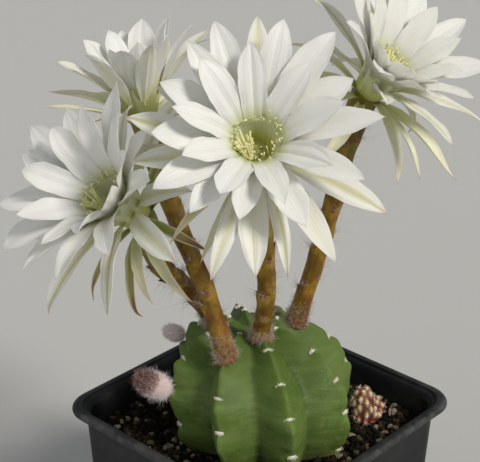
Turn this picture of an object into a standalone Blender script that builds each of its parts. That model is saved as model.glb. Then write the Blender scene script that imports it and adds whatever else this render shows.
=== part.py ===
# Potted easter lily cactus in flower: a ribbed globe in a square pot of gritty soil,
# with four long-tubed white blooms, two woolly buds and a clump of three young offsets.
# Metres, +Z up. The origin is the middle of the pot's underside, and the pot's sides
# face X and Y. The plant is laid out as seen across the pot's front corner (right,
# away, up) and then turned and moved to its place in the pot.
import math
import random

import bmesh
import bpy
from mathutils import Matrix, Vector

MM = 0.001
CLEARANCE = 0.4 * MM  # between pieces that touch

# Pot: a thin moulded square one with a rolled lip
POT_HEIGHT = 111 * MM
POT_SIDE = 130 * MM  # outside of the lip
LIP_OVERHANG = 5.5 * MM
LIP_DEPTH = 3.2 * MM
LIP_WIDTH = 5.7 * MM
POT_BASE_SIDE = 108 * MM
POT_WALL = 1.8 * MM
POT_CORNER = 14.2 * MM
CORNER_STEPS = 4
DRAIN_HOLE_RADIUS = 5 * MM
DRAIN_HOLE_PLACE = 32 * MM  # from the middle, along X and along Y

# Soil
SOIL_TOP = 98 * MM
SOIL_RELIEF = 1.3 * MM
SOIL_SPOKES = 40
SOIL_RINGS = 7

# Cactus body
RIBS = 8
FIRST_RIB = -28.0  # degrees from the front, to the right
BODY_RADIUS = 42 * MM  # over the rib crests
BODY_SHIFT = 2 * MM  # to the right of the pot's middle
EQUATOR_HEIGHT = 25 * MM  # above the soil
CROWN_RISE = 28.5 * MM  # from the equator to the crown
BASE_DROP = 44 * MM  # from the equator to the buried underside
FURROW_DEPTH = 11 * MM
CROWN_DIP = 5 * MM
CROWN_DIP_RADIUS = 12 * MM
CROWN_LEAN = Vector((-6, 12, 0)) * MM  # how far the crown leans from the middle
BODY_LATITUDES = (-74, -48, -28, -15, -3, 9, 21, 32, 43, 53, 62, 70, 78, 85)  # degrees
STEPS_A_RIB = 6
AREOLE_SIZE = Vector((2.6, 1.5, 1.4)) * MM  # across the crest, along it, out of it
AREOLE_LATITUDES = (50.0, 24.0, -2.0, -28.0)  # degrees on the body's side
AREOLE_STAGGER = 13.0  # degrees that every second rib's areoles lie higher

# Flower tubes
TUBE_RADIUS = 3.9 * MM
TUBE_FOOT_RADIUS = 5.0 * MM  # the hairy collar where the tube leaves the rib
TUBE_MOUTH_RADIUS = 6.4 * MM
TUBE_SIDES = 8
TUBE_RINGS = 13
SCALES_A_TUBE = 12

# Blooms
FUNNEL_MOUTH_RADIUS = 11.0 * MM
FUNNEL_WALL = 1.4 * MM
FUNNEL_SIDES = 12
PETAL_THICKNESS = 1.0 * MM
PETAL_WIDTH = 11.5 * MM
PETAL_STATIONS = (0.0, 0.22, 0.48, 0.72, 0.9, 1.0)
SEPAL_WIDTH = 4.6 * MM
SEPAL_STATIONS = (0.0, 0.34, 0.7, 1.0)
SEPAL_DROPS = (2.4 * MM, 3.6 * MM, 4.8 * MM)  # below the tube's top, in turn
STAMENS_IN_BUNCH = 6
STAMENS_IN_RING = 7
STAMEN_RADIUS = 0.5 * MM

# Where each whorl leaves the funnel, from its foot (0) to its mouth (1)
WHORL_ROOTS = {"inner": 0.92, "middle": 0.6, "outer": 0.25}

# One entry a flower, in mm and degrees. rib and latitude say where its tube leaves the
# body, via the points that it passes, mouth the funnel's foot and axis the way that
# the flower faces (right, away, up). opening is each whorl's angle from the axis, at
# the root and at the tip. Petals are (angle, length): the angle goes anticlockwise
# from the right, looking into the flower, and the length from the root to the tip.
FLOWERS = {
    "front": {
        "rib": 1, "latitude": 77, "via": [(2, -9, 176), (0, -20, 212)],
        "mouth": (-3, -36, 249), "axis": (0.0, -0.72, 0.69), "funnel": 19,
        "opening": {"inner": (34, 64), "middle": (46, 84), "outer": (58, 104), "sepals": (62, 112)},
        "inner": [(12, 33), (52, 31), (95, 32), (132, 33), (168, 31), (205, 31),
                  (246, 31), (285, 33), (328, 33)],
        "middle": [(5, 44), (30, 40), (54, 46), (77, 44), (112, 46), (130, 40), (152, 37),
                   (182, 35), (214, 42), (232, 36), (262, 37), (298, 38), (333, 40)],
        "outer": [(90, 47), (148, 43), (172, 46), (192, 44), (253, 52), (287, 50), (331, 50),
                  (272, 53), (308, 53)],
        "sepals": [(20, 40), (64, 40), (120, 40), (180, 48), (222, 46), (242, 44),
                   (308, 46), (350, 42)],
    },
    "left": {
        "rib": 6, "latitude": 64, "via": [(-34, 3, 174), (-43, -10, 190)],
        "mouth": (-50, -28, 221), "axis": (-0.62, -0.45, 0.64), "funnel": 20,
        "opening": {"inner": (28, 56), "middle": (42, 80), "outer": (56, 102), "sepals": (66, 132)},
        "inner": [(358, 29), (38, 31), (80, 32), (120, 33), (158, 33), (198, 33),
                  (240, 32), (280, 30), (320, 29)],
        "middle": [(22, 36), (68, 29), (102, 40), (146, 38), (166, 39), (184, 40),
                   (211, 43), (238, 43), (268, 40), (296, 40), (334, 38)],
        "outer": [(30, 36), (86, 45), (128, 42), (225, 44), (283, 48), (318, 45), (352, 46)],
        "sepals": [(16, 34), (62, 38), (110, 36), (200, 36), (258, 38), (300, 40),
                   (326, 42), (342, 44)],
    },
    "back": {
        "rib": 0, "latitude": 55, "via": [(-24, -6, 176), (-34, 3, 198), (-45, 16, 226)],
        "mouth": (-51, 27, 244), "axis": (-0.14, 0.12, 0.98), "funnel": 14,
        "opening": {"inner": (12, 28), "middle": (20, 46), "outer": (40, 68), "sepals": (72, 94)},
        "inner": [(10, 22), (58, 24), (108, 25), (158, 27), (208, 29), (262, 26), (316, 23)],
        "middle": [(34, 27), (84, 29), (134, 31), (184, 32), (236, 29), (288, 28), (342, 26)],
        "outer": [(8, 32), (60, 36), (110, 41), (158, 40), (210, 36), (262, 40), (312, 40)],
        "sepals": [(0, 32), (46, 34), (92, 38), (140, 34), (178, 38), (206, 40),
                   (250, 38), (292, 42), (332, 38)],
    },
    "right": {
        "rib": 3, "latitude": 64, "via": [(25, 14.5, 183), (31, 13, 210), (35.5, 12, 235)],
        "mouth": (43.8, 10.5, 260), "axis": (0.5, -0.33, 0.8), "funnel": 15,
        "opening": {"inner": (22, 44), "middle": (32, 66), "outer": (50, 92), "sepals": (76, 142)},
        "inner": [(12, 30), (52, 32), (92, 32), (132, 28), (172, 25), (212, 22),
                  (252, 22), (292, 26), (332, 29)],
        "middle": [(30, 38), (70, 40), (110, 40), (150, 38), (190, 35), (230, 33),
                   (270, 34), (310, 38), (350, 38)],
        "outer": [(18, 42), (60, 42), (102, 44), (148, 42), (202, 38), (246, 42),
                  (290, 44), (332, 44)],
        "sepals": [(0, 42), (42, 38), (88, 40), (130, 42), (165, 38), (200, 38),
                   (240, 46), (272, 44), (300, 48), (325, 44)],
    },
}

# Buds on the shaded side: the rib and latitude that each grows from, how far its
# middle stands off the crest, its half length and half width, and its lean.
BUDS = {
    "bud_large": {"rib": 7, "latitude": 12, "length": 8.2 * MM, "width": 5.4 * MM,
                  "scales": 14, "lean": Vector((-0.4, 0.1, 0.65))},
    "bud_small": {"rib": 6, "latitude": 24, "length": 4.9 * MM, "width": 3.6 * MM,
                  "scales": 6, "lean": Vector((-0.5, -0.1, 0.1))},
}

# Young offsets on the soil: place (right, away), half height and half width in mm,
# and how many knobs each has
OFFSET_KNOB = 1.3 * MM  # how far a knob stands out
OFFSET_AREOLE = (3, -15)  # the rib and latitude of the areole that they grew from
OFFSETS = [((47.2, 11.8), 10.5, 5.3, 18), ((54.3, 19.8), 5.5, 3.6, 8), ((51.2, 14.6), 4.5, 4.4, 5)]

PLANT_TURN = math.radians(43)  # from the frame that the plant is laid out in
PLANT_SHIFT = Vector((0, -9, 0)) * MM  # it stands nearer to the front corner
GOLDEN_ANGLE = math.radians(137.5)


def clear_scene():
    for obj in list(bpy.data.objects):
        bpy.data.objects.remove(obj, do_unlink=True)


def material(name, colour, roughness, metallic=0.0):
    made = bpy.data.materials.new(name)
    made.use_nodes = True
    shader = made.node_tree.nodes["Principled BSDF"]
    shader.inputs["Base Color"].default_value = (*colour, 1.0)
    shader.inputs["Roughness"].default_value = roughness
    shader.inputs["Metallic"].default_value = metallic
    return made


def object_from(name, vertices, faces, finish=None):
    mesh = bpy.data.meshes.new(name)
    mesh.from_pydata([tuple(v) for v in vertices], [], faces)
    mesh.update()
    obj = bpy.data.objects.new(name, mesh)
    bpy.context.scene.collection.objects.link(obj)
    if finish:
        obj.data.materials.append(finish)
    return obj


def outward(obj):
    """Turns every face of a closed mesh outwards."""
    shape = bmesh.new()
    shape.from_mesh(obj.data)
    bmesh.ops.recalc_face_normals(shape, faces=shape.faces)
    shape.to_mesh(obj.data)
    shape.free()
    return obj


def rings_to_faces(rings, around, closed=False):
    """Triangles between rings of points that have the same count. The diagonal runs
    the same way everywhere, so thin blades don't cross themselves."""
    faces = []
    for i in range(rings if closed else rings - 1):
        low, high = i * around, ((i + 1) % rings) * around
        for j in range(around):
            k = (j + 1) % around
            faces += [(low + j, low + k, high + k), (low + j, high + k, high + j)]
    return faces


def fused(obj, others, operation="UNION"):
    """Joins the others into obj, or cuts them from it, and removes them."""
    group = bpy.data.collections.new(obj.name + "_tools")
    bpy.context.scene.collection.children.link(group)
    for other in others:
        for home in list(other.users_collection):
            home.objects.unlink(other)
        group.objects.link(other)
    cut = obj.modifiers.new("join", "BOOLEAN")
    cut.operation = operation
    cut.operand_type = "COLLECTION"
    cut.collection = group
    cut.solver = "MANIFOLD"
    graph = bpy.context.evaluated_depsgraph_get()
    mesh = bpy.data.meshes.new_from_object(obj.evaluated_get(graph))
    obj.modifiers.clear()
    obj.data = mesh
    for other in list(group.objects):
        bpy.data.objects.remove(other, do_unlink=True)
    bpy.data.collections.remove(group)
    return obj


def placed(obj):
    """Puts a piece that was laid out in the plant's frame into the pot's frame."""
    turn = Matrix.Rotation(PLANT_TURN, 4, "Z")
    obj.data.transform(turn @ Matrix.Translation(PLANT_SHIFT))
    return obj


def smooth(obj):
    obj.data.shade_smooth()
    obj.data.set_sharp_from_angle(angle=math.radians(40))
    return obj


# The pot

def rounded_square(side, corner, z):
    """One ring of points round a square with round corners."""
    points = []
    reach = side / 2 - corner
    for quarter in range(4):
        middle = math.radians(45 + 90 * quarter)
        cx = math.copysign(reach, math.cos(middle))
        cy = math.copysign(reach, math.sin(middle))
        for step in range(CORNER_STEPS + 1):
            angle = middle + math.radians(90) * (step / CORNER_STEPS - 0.5)
            points.append((cx + corner * math.cos(angle), cy + corner * math.sin(angle), z))
    return points


def pot_wall_side(z):
    """The wall's outside width at a height, below the lip."""
    top = POT_SIDE - 2 * LIP_OVERHANG
    return POT_BASE_SIDE + (top - POT_BASE_SIDE) * z / (POT_HEIGHT - LIP_DEPTH)


def make_pot(finish):
    top, lip_low = POT_HEIGHT, POT_HEIGHT - LIP_DEPTH
    bead = 1.6 * MM  # rounding of the lip
    inner_top = POT_SIDE - 2 * LIP_WIDTH
    inner_base = pot_wall_side(0) - 2 * POT_WALL
    outline = [
        (POT_BASE_SIDE - 2 * MM, 0.0),
        (POT_BASE_SIDE, 1.2 * MM),
        (pot_wall_side(lip_low), lip_low),
        (POT_SIDE - 2.2 * MM, lip_low),
        (POT_SIDE - 0.5 * MM, lip_low + 0.5 * MM),
        (POT_SIDE, lip_low + 1.4 * MM),
        (POT_SIDE - 0.2 * MM, top - bead * 0.9),
        (POT_SIDE - 1.2 * MM, top - 0.5 * MM),
        (POT_SIDE - 3.4 * MM, top),
        (inner_top + 2.4 * MM, top - 0.2 * MM),
        (inner_top, top - bead),
        (pot_wall_side(lip_low) - 2 * POT_WALL, lip_low - 0.6 * MM),
        (inner_base, POT_WALL * 1.4),
    ]
    vertices = []
    for side, z in outline:
        vertices += rounded_square(side, POT_CORNER - (POT_SIDE - side) / 2 * 0.6, z)
    around = 4 * (CORNER_STEPS + 1)
    faces = rings_to_faces(len(outline), around)
    last = (len(outline) - 1) * around
    faces.append(tuple(reversed(range(around))))
    faces.append(tuple(range(last, last + around)))
    pot = outward(object_from("pot", vertices, faces, finish))
    drills = []
    for x in (-DRAIN_HOLE_PLACE, DRAIN_HOLE_PLACE):
        for y in (-DRAIN_HOLE_PLACE, DRAIN_HOLE_PLACE):
            bpy.ops.mesh.primitive_cylinder_add(
                vertices=12, radius=DRAIN_HOLE_RADIUS, depth=8 * POT_WALL, location=(x, y, 0)
            )
            drills.append(bpy.context.object)
    return smooth(fused(pot, drills, "DIFFERENCE"))


# The cactus body

def crest_radius_and_height(latitude):
    """The rib crest's distance from the middle and its height over the soil."""
    angle = math.radians(latitude)
    rise = CROWN_RISE if latitude > 0 else BASE_DROP
    radius = BODY_RADIUS * max(math.cos(angle), 0.0) ** 0.86
    height = EQUATOR_HEIGHT + rise * math.copysign(abs(math.sin(angle)) ** 0.95, angle)
    if latitude > 0 and radius < CROWN_DIP_RADIUS:
        height -= CROWN_DIP * (1 - (radius / CROWN_DIP_RADIUS) ** 2) ** 1.5
    return radius, height


def body_point(azimuth, latitude, grow=0.0):
    """A point on the body. Azimuth is in degrees from the front, to the right. grow
    moves it outwards, for the hole that the body stands in."""
    step = 0.5
    radius, height = crest_radius_and_height(latitude)
    next_radius, next_height = crest_radius_and_height(min(latitude + step, 90.0))
    last_radius, last_height = crest_radius_and_height(max(latitude - step, -90.0))
    out = Vector((next_height - last_height, last_radius - next_radius)).normalized()
    pitch = 360.0 / RIBS
    from_crest = abs((azimuth - FIRST_RIB + pitch / 2) % pitch - pitch / 2) / (pitch / 2)
    depth = FURROW_DEPTH * (radius / BODY_RADIUS) ** 0.75 * from_crest**1.25
    radius += out.x * (grow - depth)
    height += out.y * (grow - depth)
    angle = math.radians(azimuth)
    lean = CROWN_LEAN * max(height / (EQUATOR_HEIGHT + CROWN_RISE), 0.0) ** 2
    spot = Vector((radius * math.sin(angle), -radius * math.cos(angle), SOIL_TOP + height))
    return spot + lean + Vector((BODY_SHIFT, 0, 0))


def crest_frame(rib, latitude):
    """A point on a rib's crest, with the ways out, along the crest and across it."""
    azimuth = FIRST_RIB + 360.0 / RIBS * rib
    here = body_point(azimuth, latitude)
    along = (body_point(azimuth, latitude + 2) - body_point(azimuth, latitude - 2)).normalized()
    angle = math.radians(azimuth)
    across = Vector((math.cos(angle), math.sin(angle), 0))
    out = across.cross(along).normalized()
    return here, out, along, across


def body_mesh(name, grow=0.0, finish=None):
    around = RIBS * STEPS_A_RIB
    vertices = []
    for latitude in BODY_LATITUDES:
        for j in range(around):
            vertices.append(body_point(FIRST_RIB + 360 * j / around, latitude, grow))
    faces = rings_to_faces(len(BODY_LATITUDES), around)
    foot, crown = len(vertices), len(vertices) + 1
    vertices += [body_point(0, -89.9, grow), body_point(0, 89.9, grow)]
    last = (len(BODY_LATITUDES) - 1) * around
    for j in range(around):
        k = (j + 1) % around
        faces += [(foot, k, j), (crown, last + j, last + k)]
    return outward(object_from(name, vertices, faces, finish))


def blob(size, axes, middle):
    """A faceted ball stretched along three axes."""
    shape = bmesh.new()
    bmesh.ops.create_icosphere(shape, subdivisions=2, radius=1.0)
    turn = Matrix([axes[0] * size[0], axes[1] * size[1], axes[2] * size[2]]).transposed()
    shape.transform(Matrix.Translation(middle) @ turn.to_4x4())
    mesh = bpy.data.meshes.new("blob")
    shape.to_mesh(mesh)
    shape.free()
    obj = bpy.data.objects.new("blob", mesh)
    bpy.context.scene.collection.objects.link(obj)
    return outward(obj)


def stud(size, axes, middle):
    """A six-sided double cone, whose outer half shows as a small knob."""
    across, along, out = (axis * reach for axis, reach in zip(axes, size))
    vertices = [middle - out]
    for j in range(6):
        angle = math.pi / 3 * j
        vertices.append(middle + across * math.cos(angle) + along * math.sin(angle))
    vertices.append(middle + out)
    faces = []
    for j in range(6):
        here, after = 1 + j, 1 + (j + 1) % 6
        faces += [(0, after, here), (7, here, after)]
    return outward(object_from("stud", vertices, faces))


def areole_places():
    """Every areole on the ribs, apart from those that something grew from."""
    taken = [(grown["rib"], grown["latitude"]) for grown in (*FLOWERS.values(), *BUDS.values())]
    taken.append(OFFSET_AREOLE)
    for rib in range(RIBS):
        for latitude in AREOLE_LATITUDES:
            latitude += AREOLE_STAGGER * (rib % 2)
            if not any(rib == r and abs(latitude - other) < AREOLE_STAGGER for r, other in taken):
                yield rib, latitude


def make_body(finish):
    body = body_mesh("cactus_body", finish=finish)
    bumps = []
    for rib, latitude in areole_places():
        here, out, along, across = crest_frame(rib, latitude)
        bumps.append(stud(AREOLE_SIZE, (across, along, out), here + out * 0.15 * MM))
    return fused(body, bumps)


# Tubes, blooms and stamens

def bloom_frame(flower):
    """The funnel's foot, the way that the flower faces, and its right and top."""
    foot = Vector(flower["mouth"]) * MM
    axis = Vector(flower["axis"]).normalized()
    right = Vector((0, 0, 1)).cross(axis).normalized()
    return foot, axis, right, axis.cross(right)


def tube_path(flower):
    """The tube's middle line, from inside the rib to the funnel's foot, as a smooth
    curve through the points that it passes."""
    here, out, _, _ = crest_frame(flower["rib"], flower["latitude"])
    foot, axis, _, _ = bloom_frame(flower)
    stops = [here - out * 14 * MM, here - out * 2 * MM]
    stops += [Vector(point) * MM for point in flower["via"]]
    stops += [foot, foot + axis * 24 * MM]
    spans = len(stops) - 3
    path = []
    for i in range(TUBE_RINGS):
        place = spans * (i / (TUBE_RINGS - 1)) ** 1.1
        k = min(int(place), spans - 1)
        t = place - k
        a, b, c, d = stops[k:k + 4]
        path.append(
            (b * 2 + (c - a) * t + (a * 2 - b * 5 + c * 4 - d) * t * t
             + (b * 3 - a - c * 3 + d) * t**3) / 2
        )
    return path


def tube_radius(share):
    """The tube's radius along its length: a woolly foot, a slim waist, a wider top."""
    foot = math.exp(-((share / 0.09) ** 2))
    top = max(share - 0.5, 0.0) / 0.5
    return TUBE_RADIUS + (TUBE_FOOT_RADIUS - TUBE_RADIUS) * foot + (
        TUBE_MOUTH_RADIUS - TUBE_RADIUS
    ) * top**1.6


def swept(name, path, radius_at, sides, end_way=None, finish=None):
    """A closed round tube along a path. end_way squares its end to that direction."""
    vertices = []
    side = Vector((1, 0, 0))
    last = len(path) - 1
    for i, here in enumerate(path):
        way = (path[min(i + 1, last)] - path[max(i - 1, 0)]).normalized()
        if i == last and end_way:
            way = end_way
        side = (side - way * side.dot(way)).normalized()
        other = way.cross(side)
        radius = radius_at(i / last)
        for j in range(sides):
            angle = 2 * math.pi * j / sides
            vertices.append(here + (side * math.cos(angle) + other * math.sin(angle)) * radius)
    faces = rings_to_faces(len(path), sides)
    faces += [tuple(reversed(range(sides))), tuple(range(last * sides, (last + 1) * sides))]
    return outward(object_from(name, vertices, faces, finish))


def blade_half_width(share):
    """A pointed oval: narrow at the root, widest past the middle, drawn to a tip."""
    if share < 0.52:
        return 0.4 + 0.6 * math.sin(math.pi / 2 * share / 0.52)
    return 1 - ((share - 0.52) / 0.48) ** 1.7


def blade(frame, root_radius, root_along, angle, length, width, openings, stations, channel):
    """One petal or sepal: a thin pointed blade, thickest along its midrib, that bends
    outwards from the flower's axis as it grows."""
    foot, axis, right, top = frame
    out = right * math.cos(angle) + top * math.sin(angle)
    side = axis.cross(out)
    steps = 24
    radius, along = root_radius, root_along
    centres = [(radius, along, openings[0])]
    for i in range(steps):
        share = (i + 0.5) / steps
        opening = openings[0] + (openings[1] - openings[0]) * share**0.8
        radius += math.sin(opening) * length / steps
        along += math.cos(opening) * length / steps
        centres.append((radius, along, opening))
    vertices = []
    for share in stations:
        radius, along, opening = centres[round(share * steps)]
        here = foot + out * radius + axis * along
        normal = axis * math.sin(opening) - out * math.cos(opening)
        half = width / 2 * blade_half_width(share)
        lift = channel * half
        if share == 1.0:
            vertices.append(here + normal * lift)
            continue
        thick = PETAL_THICKNESS / 2
        vertices += [
            here - side * half + normal * lift,
            here - normal * thick,
            here + side * half + normal * lift,
            here + normal * thick,
        ]
    faces = [(0, 1, 3), (1, 2, 3)]
    rows = len(stations) - 1
    for i in range(rows - 1):
        low, high = 4 * i, 4 * (i + 1)
        # Both faces split from the margin to the midrib, so that they never cross.
        faces += [
            (low, low + 1, high + 1), (low, high + 1, high),
            (low + 2, high + 1, low + 1), (low + 2, high + 2, high + 1),
            (low, high + 3, low + 3), (low, high, high + 3),
            (low + 2, low + 3, high + 3), (low + 2, high + 3, high + 2),
        ]
    tip, low = len(vertices) - 1, 4 * (rows - 1)
    faces += [(low + j, low + (j + 1) % 4, tip) for j in range(4)]
    return outward(object_from("blade", vertices, faces))


def funnel_radius(share):
    """The funnel's outside radius, from its foot to its mouth."""
    return TUBE_MOUTH_RADIUS + (FUNNEL_MOUTH_RADIUS - TUBE_MOUTH_RADIUS) * share


def turned(name, frame, outline, sides, finish=None):
    """A closed body turned about the flower's axis, from (radius, along) points that
    start and end on the axis."""
    foot, axis, right, top = frame
    vertices = [foot + axis * outline[0][1]]
    for radius, along in outline[1:-1]:
        for j in range(sides):
            angle = 2 * math.pi * j / sides
            out = right * math.cos(angle) + top * math.sin(angle)
            vertices.append(foot + out * radius + axis * along)
    vertices.append(foot + axis * outline[-1][1])
    rings = len(outline) - 2
    faces = [tuple(1 + v for v in face) for face in rings_to_faces(rings, sides)]
    end, last = len(vertices) - 1, 1 + (rings - 1) * sides
    for j in range(sides):
        k = (j + 1) % sides
        faces += [(0, 1 + k, 1 + j), (end, last + j, last + k)]
    return outward(object_from(name, vertices, faces, finish))


def make_bloom(name, flower, finish):
    """The white funnel and its three whorls of petals, as one body."""
    frame = bloom_frame(flower)
    length = flower["funnel"] * MM
    gap = CLEARANCE
    outer = [(funnel_radius(s), gap + s * (length - gap)) for s in (0.0, 0.5, 1.0)]
    inner = [(funnel_radius(s) - FUNNEL_WALL, s * length) for s in (0.92, 0.5, 0.22)]
    floor = 2.4 * MM
    outline = [(0, gap), *outer, *inner, (TUBE_MOUTH_RADIUS - 2 * MM, floor), (0, floor)]
    bloom = turned("bloom_" + name, frame, outline, FUNNEL_SIDES, finish)
    petals = []
    for whorl, share in WHORL_ROOTS.items():
        low, high = flower["opening"][whorl]
        for number, (angle, reach) in enumerate(flower[whorl]):
            waver = 5 * math.sin(2.4 * number + len(name))  # degrees
            petals.append(blade(
                frame,
                funnel_radius(share) - FUNNEL_WALL / 2,
                share * length,
                math.radians(angle),
                reach * MM,
                PETAL_WIDTH,
                (math.radians(low), math.radians(high + waver)),
                PETAL_STATIONS,
                0.16,
            ))
    return fused(bloom, petals)


def make_tube(name, flower, finish):
    """The hairy tube with its scales, and the narrow sepals at its top."""
    path = tube_path(flower)
    frame = bloom_frame(flower)
    tube = swept("tube_" + name, path, tube_radius, TUBE_SIDES, frame[1], finish)
    low, high = flower["opening"]["sepals"]
    grown = []
    for number, (angle, length) in enumerate(flower["sepals"]):
        waver = 12 * math.sin(3.1 * number + len(name))  # degrees
        drop = SEPAL_DROPS[number % 3]
        grown.append(blade(
            frame, TUBE_MOUTH_RADIUS - 2.2 * MM, -drop, math.radians(angle), length * MM,
            SEPAL_WIDTH, (math.radians(low), math.radians(high + waver)), SEPAL_STATIONS, 0.3,
        ))
    last = len(path) - 1
    for number in range(SCALES_A_TUBE):
        place = last * (0.16 + 0.68 * number / (SCALES_A_TUBE - 1))
        step = int(place)
        here = path[step].lerp(path[step + 1], place - step)
        way = (path[step + 1] - path[step]).normalized()
        out = Matrix.Rotation(GOLDEN_ANGLE * number, 3, way) @ way.orthogonal().normalized()
        radius = tube_radius(place / last)
        root = here + out * (radius - 0.7 * MM)
        grown.append(scale_on(root, out, way, (3.2 + 4 * place / last) * MM))
    return fused(tube, grown)


def scale_on(root, out, way, length):
    """A small pointed scale that leans up the tube."""
    across = way.cross(out)
    half = 1.1 * MM
    tip = root + way * length + out * (0.45 * length)
    vertices = [root - across * half, root + across * half, root + out * 1.6 * half, tip]
    faces = [(0, 1, 2), (0, 3, 1), (1, 3, 2), (2, 3, 0)]
    return outward(object_from("scale", vertices, faces))


def spike(root, tip, radius):
    """A three-sided filament that thickens to an anther near its tip."""
    way = (tip - root).normalized()
    side = way.orthogonal().normalized()
    vertices = []
    for here, size in ((root, 1.0), (tip - way * 1.4 * MM, 1.7)):
        for j in range(3):
            turn = Matrix.Rotation(math.radians(120 * j), 3, way)
            vertices.append(here + turn @ side * radius * size)
    vertices.append(tip)
    faces = rings_to_faces(2, 3)
    faces += [(2, 1, 0), (3, 4, 6), (4, 5, 6), (5, 3, 6)]
    return outward(object_from("spike", vertices, faces))


def make_throat(name, flower, finish):
    """The green lining of the funnel, with a bunch of long stamens on its floor and a
    ring of short ones at its edge."""
    frame = bloom_frame(flower)
    foot, axis, right, top = frame
    length = flower["funnel"] * MM
    inset = FUNNEL_WALL + 2 * CLEARANCE
    wall = 0.9 * MM
    low, middle, high = ((funnel_radius(s) - inset, s * length) for s in (0.3, 0.6, 0.88))
    floor = low[1] + 0.8 * MM
    outline = [(0, floor - 1.6 * MM), (2.4 * MM, floor - 1.6 * MM), low, middle, high,
               (high[0] - wall, high[1]), (middle[0] - wall, middle[1]), (0, floor)]
    throat = turned("throat_" + name, frame, outline, 10, finish)
    draw = random.Random(len(name) * 7)
    grown = []
    down = Vector((0, 0, -1))
    lower = (down - axis * down.dot(axis)).normalized()
    for number in range(STAMENS_IN_BUNCH):
        angle = 2 * math.pi * number / STAMENS_IN_BUNCH
        around = right * math.cos(angle) + top * math.sin(angle)
        root = foot + axis * (floor - 0.8 * MM) + around * 2.2 * MM
        along = length * draw.uniform(0.8, 0.98)
        sideways = around * 2.6 * MM + lower * draw.uniform(2.2, 3.4) * MM
        room = funnel_radius(along / length) - inset - wall - 2 * STAMEN_RADIUS
        sideways *= min(1.0, room / sideways.length)
        grown.append(spike(root, foot + axis * along + sideways, STAMEN_RADIUS))
    for number in range(STAMENS_IN_RING):
        angle = 2 * math.pi * (number + draw.uniform(-0.2, 0.2)) / STAMENS_IN_RING
        around = right * math.cos(angle) + top * math.sin(angle)
        root = foot + around * (high[0] - 0.7 * MM) + axis * (high[1] - 1.2 * MM)
        tip = root + axis * draw.uniform(5.4, 7.0) * MM - around * 1.2 * MM
        grown.append(spike(root, tip, STAMEN_RADIUS))
    return fused(throat, grown)


# Buds, offsets and soil

def make_bud(name, bud, finish):
    """A young flower bud in thick wool, with small scales round its tip."""
    here, out, _, _ = crest_frame(bud["rib"], bud["latitude"])
    way = (out + bud["lean"]).normalized()
    side = way.orthogonal().normalized()
    other = way.cross(side)
    length, width = bud["length"], bud["width"]
    lean = way.dot(out)
    reach = math.sqrt((length * lean) ** 2 + width**2 * (1 - lean**2))
    middle = here + out * (reach + CLEARANCE)
    ball = blob((width, width, length), (side, other, way), middle)
    ball.name = name
    ball.data.materials.append(finish)
    scales = []
    count = bud["scales"]
    for number in range(count):
        angle = GOLDEN_ANGLE * number
        height = 0.15 + 0.75 * number / count
        around = side * math.cos(angle) + other * math.sin(angle)
        ring = math.sqrt(1 - height**2) * width
        root = middle + way * height * length + around * (ring - 0.8 * MM)
        scales.append(scale_on(root, around, way, width * 0.42))
    return fused(ball, scales)


def make_offsets(finish, grow=0.0, name="offsets"):
    """Three young offsets that touch, each covered in knobs."""
    balls = []
    for (right, away), half_height, half_width, knobs in OFFSETS:
        middle = Vector((right, away, 0)) * MM + Vector((0, 0, SOIL_TOP + (half_height - 3.5) * MM))
        axes = (Vector((1, 0, 0)), Vector((0, 1, 0)), Vector((0, 0, 1)))
        size = Vector((half_width, half_width, half_height)) * MM
        size += Vector((grow, grow, grow))
        ball = blob(size, axes, middle)
        balls.append(ball)
        if grow:
            continue
        for number in range(knobs):
            rise = 1 - 1.3 * (number + 0.5) / knobs
            ring = math.sqrt(1 - rise * rise)
            angle = GOLDEN_ANGLE * number
            out = Vector((ring * math.cos(angle), ring * math.sin(angle), rise))
            spot = middle + Vector((out.x * size.x, out.y * size.y, out.z * size.z))
            side = out.orthogonal().normalized()
            balls.append(stud((OFFSET_KNOB,) * 3, (side, out.cross(side), out), spot))
    first = balls.pop(0)
    first.name = name
    if finish:
        first.data.materials.append(finish)
    return fused(first, balls)


def make_soil(finish):
    """Gritty soil that fills the pot, with a lumpy top and holes for what stands in it."""
    draw = random.Random(4)
    floor = POT_WALL * 1.4 + CLEARANCE
    around = SOIL_SPOKES

    def ring(side, corner, z):
        """The rounded square, read at equal angles so that every ring matches."""
        points = []
        reach = side / 2 - corner
        for j in range(around):
            angle = 2 * math.pi * j / around
            c, s = abs(math.cos(angle)), abs(math.sin(angle))
            distance = side / 2 / max(c, s)
            if min(c, s) * distance > reach:
                middle = reach * (c + s)
                distance = middle + math.sqrt(middle**2 - 2 * reach**2 + corner**2)
            points.append(Vector((distance * math.cos(angle), distance * math.sin(angle), z)))
        return points

    margin = 2 * (POT_WALL + CLEARANCE)
    edge = SOIL_TOP - 1.5 * MM
    vertices = ring(pot_wall_side(floor) - margin, POT_CORNER * 0.64, floor)
    top_side = pot_wall_side(edge) - margin - 0.6 * MM
    vertices += ring(top_side, POT_CORNER * 0.72, edge)
    rim = vertices[-around:]
    rings = 2
    for i in range(1, SOIL_RINGS):
        share = 1 - 0.56 * (i / SOIL_RINGS)
        rings += 1
        for point in rim:
            bump = draw.uniform(-SOIL_RELIEF, SOIL_RELIEF)
            slide = Vector((draw.uniform(-1, 1), draw.uniform(-1, 1), 0)) * MM
            vertices.append(Vector((point.x * share, point.y * share, SOIL_TOP + bump)) + slide)
    faces = rings_to_faces(rings, around)
    faces.append(tuple(reversed(range(around))))
    middle = len(vertices)
    vertices.append(Vector((0, 0, SOIL_TOP)))
    last = (rings - 1) * around
    faces += [(middle, last + j, last + (j + 1) % around) for j in range(around)]
    soil = outward(object_from("soil", vertices, faces, finish))
    hollow = placed(body_mesh("hollow", grow=CLEARANCE))
    seats = placed(make_offsets(None, grow=CLEARANCE + OFFSET_KNOB, name="seats"))
    return fused(soil, [hollow, seats], "DIFFERENCE")


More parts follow.
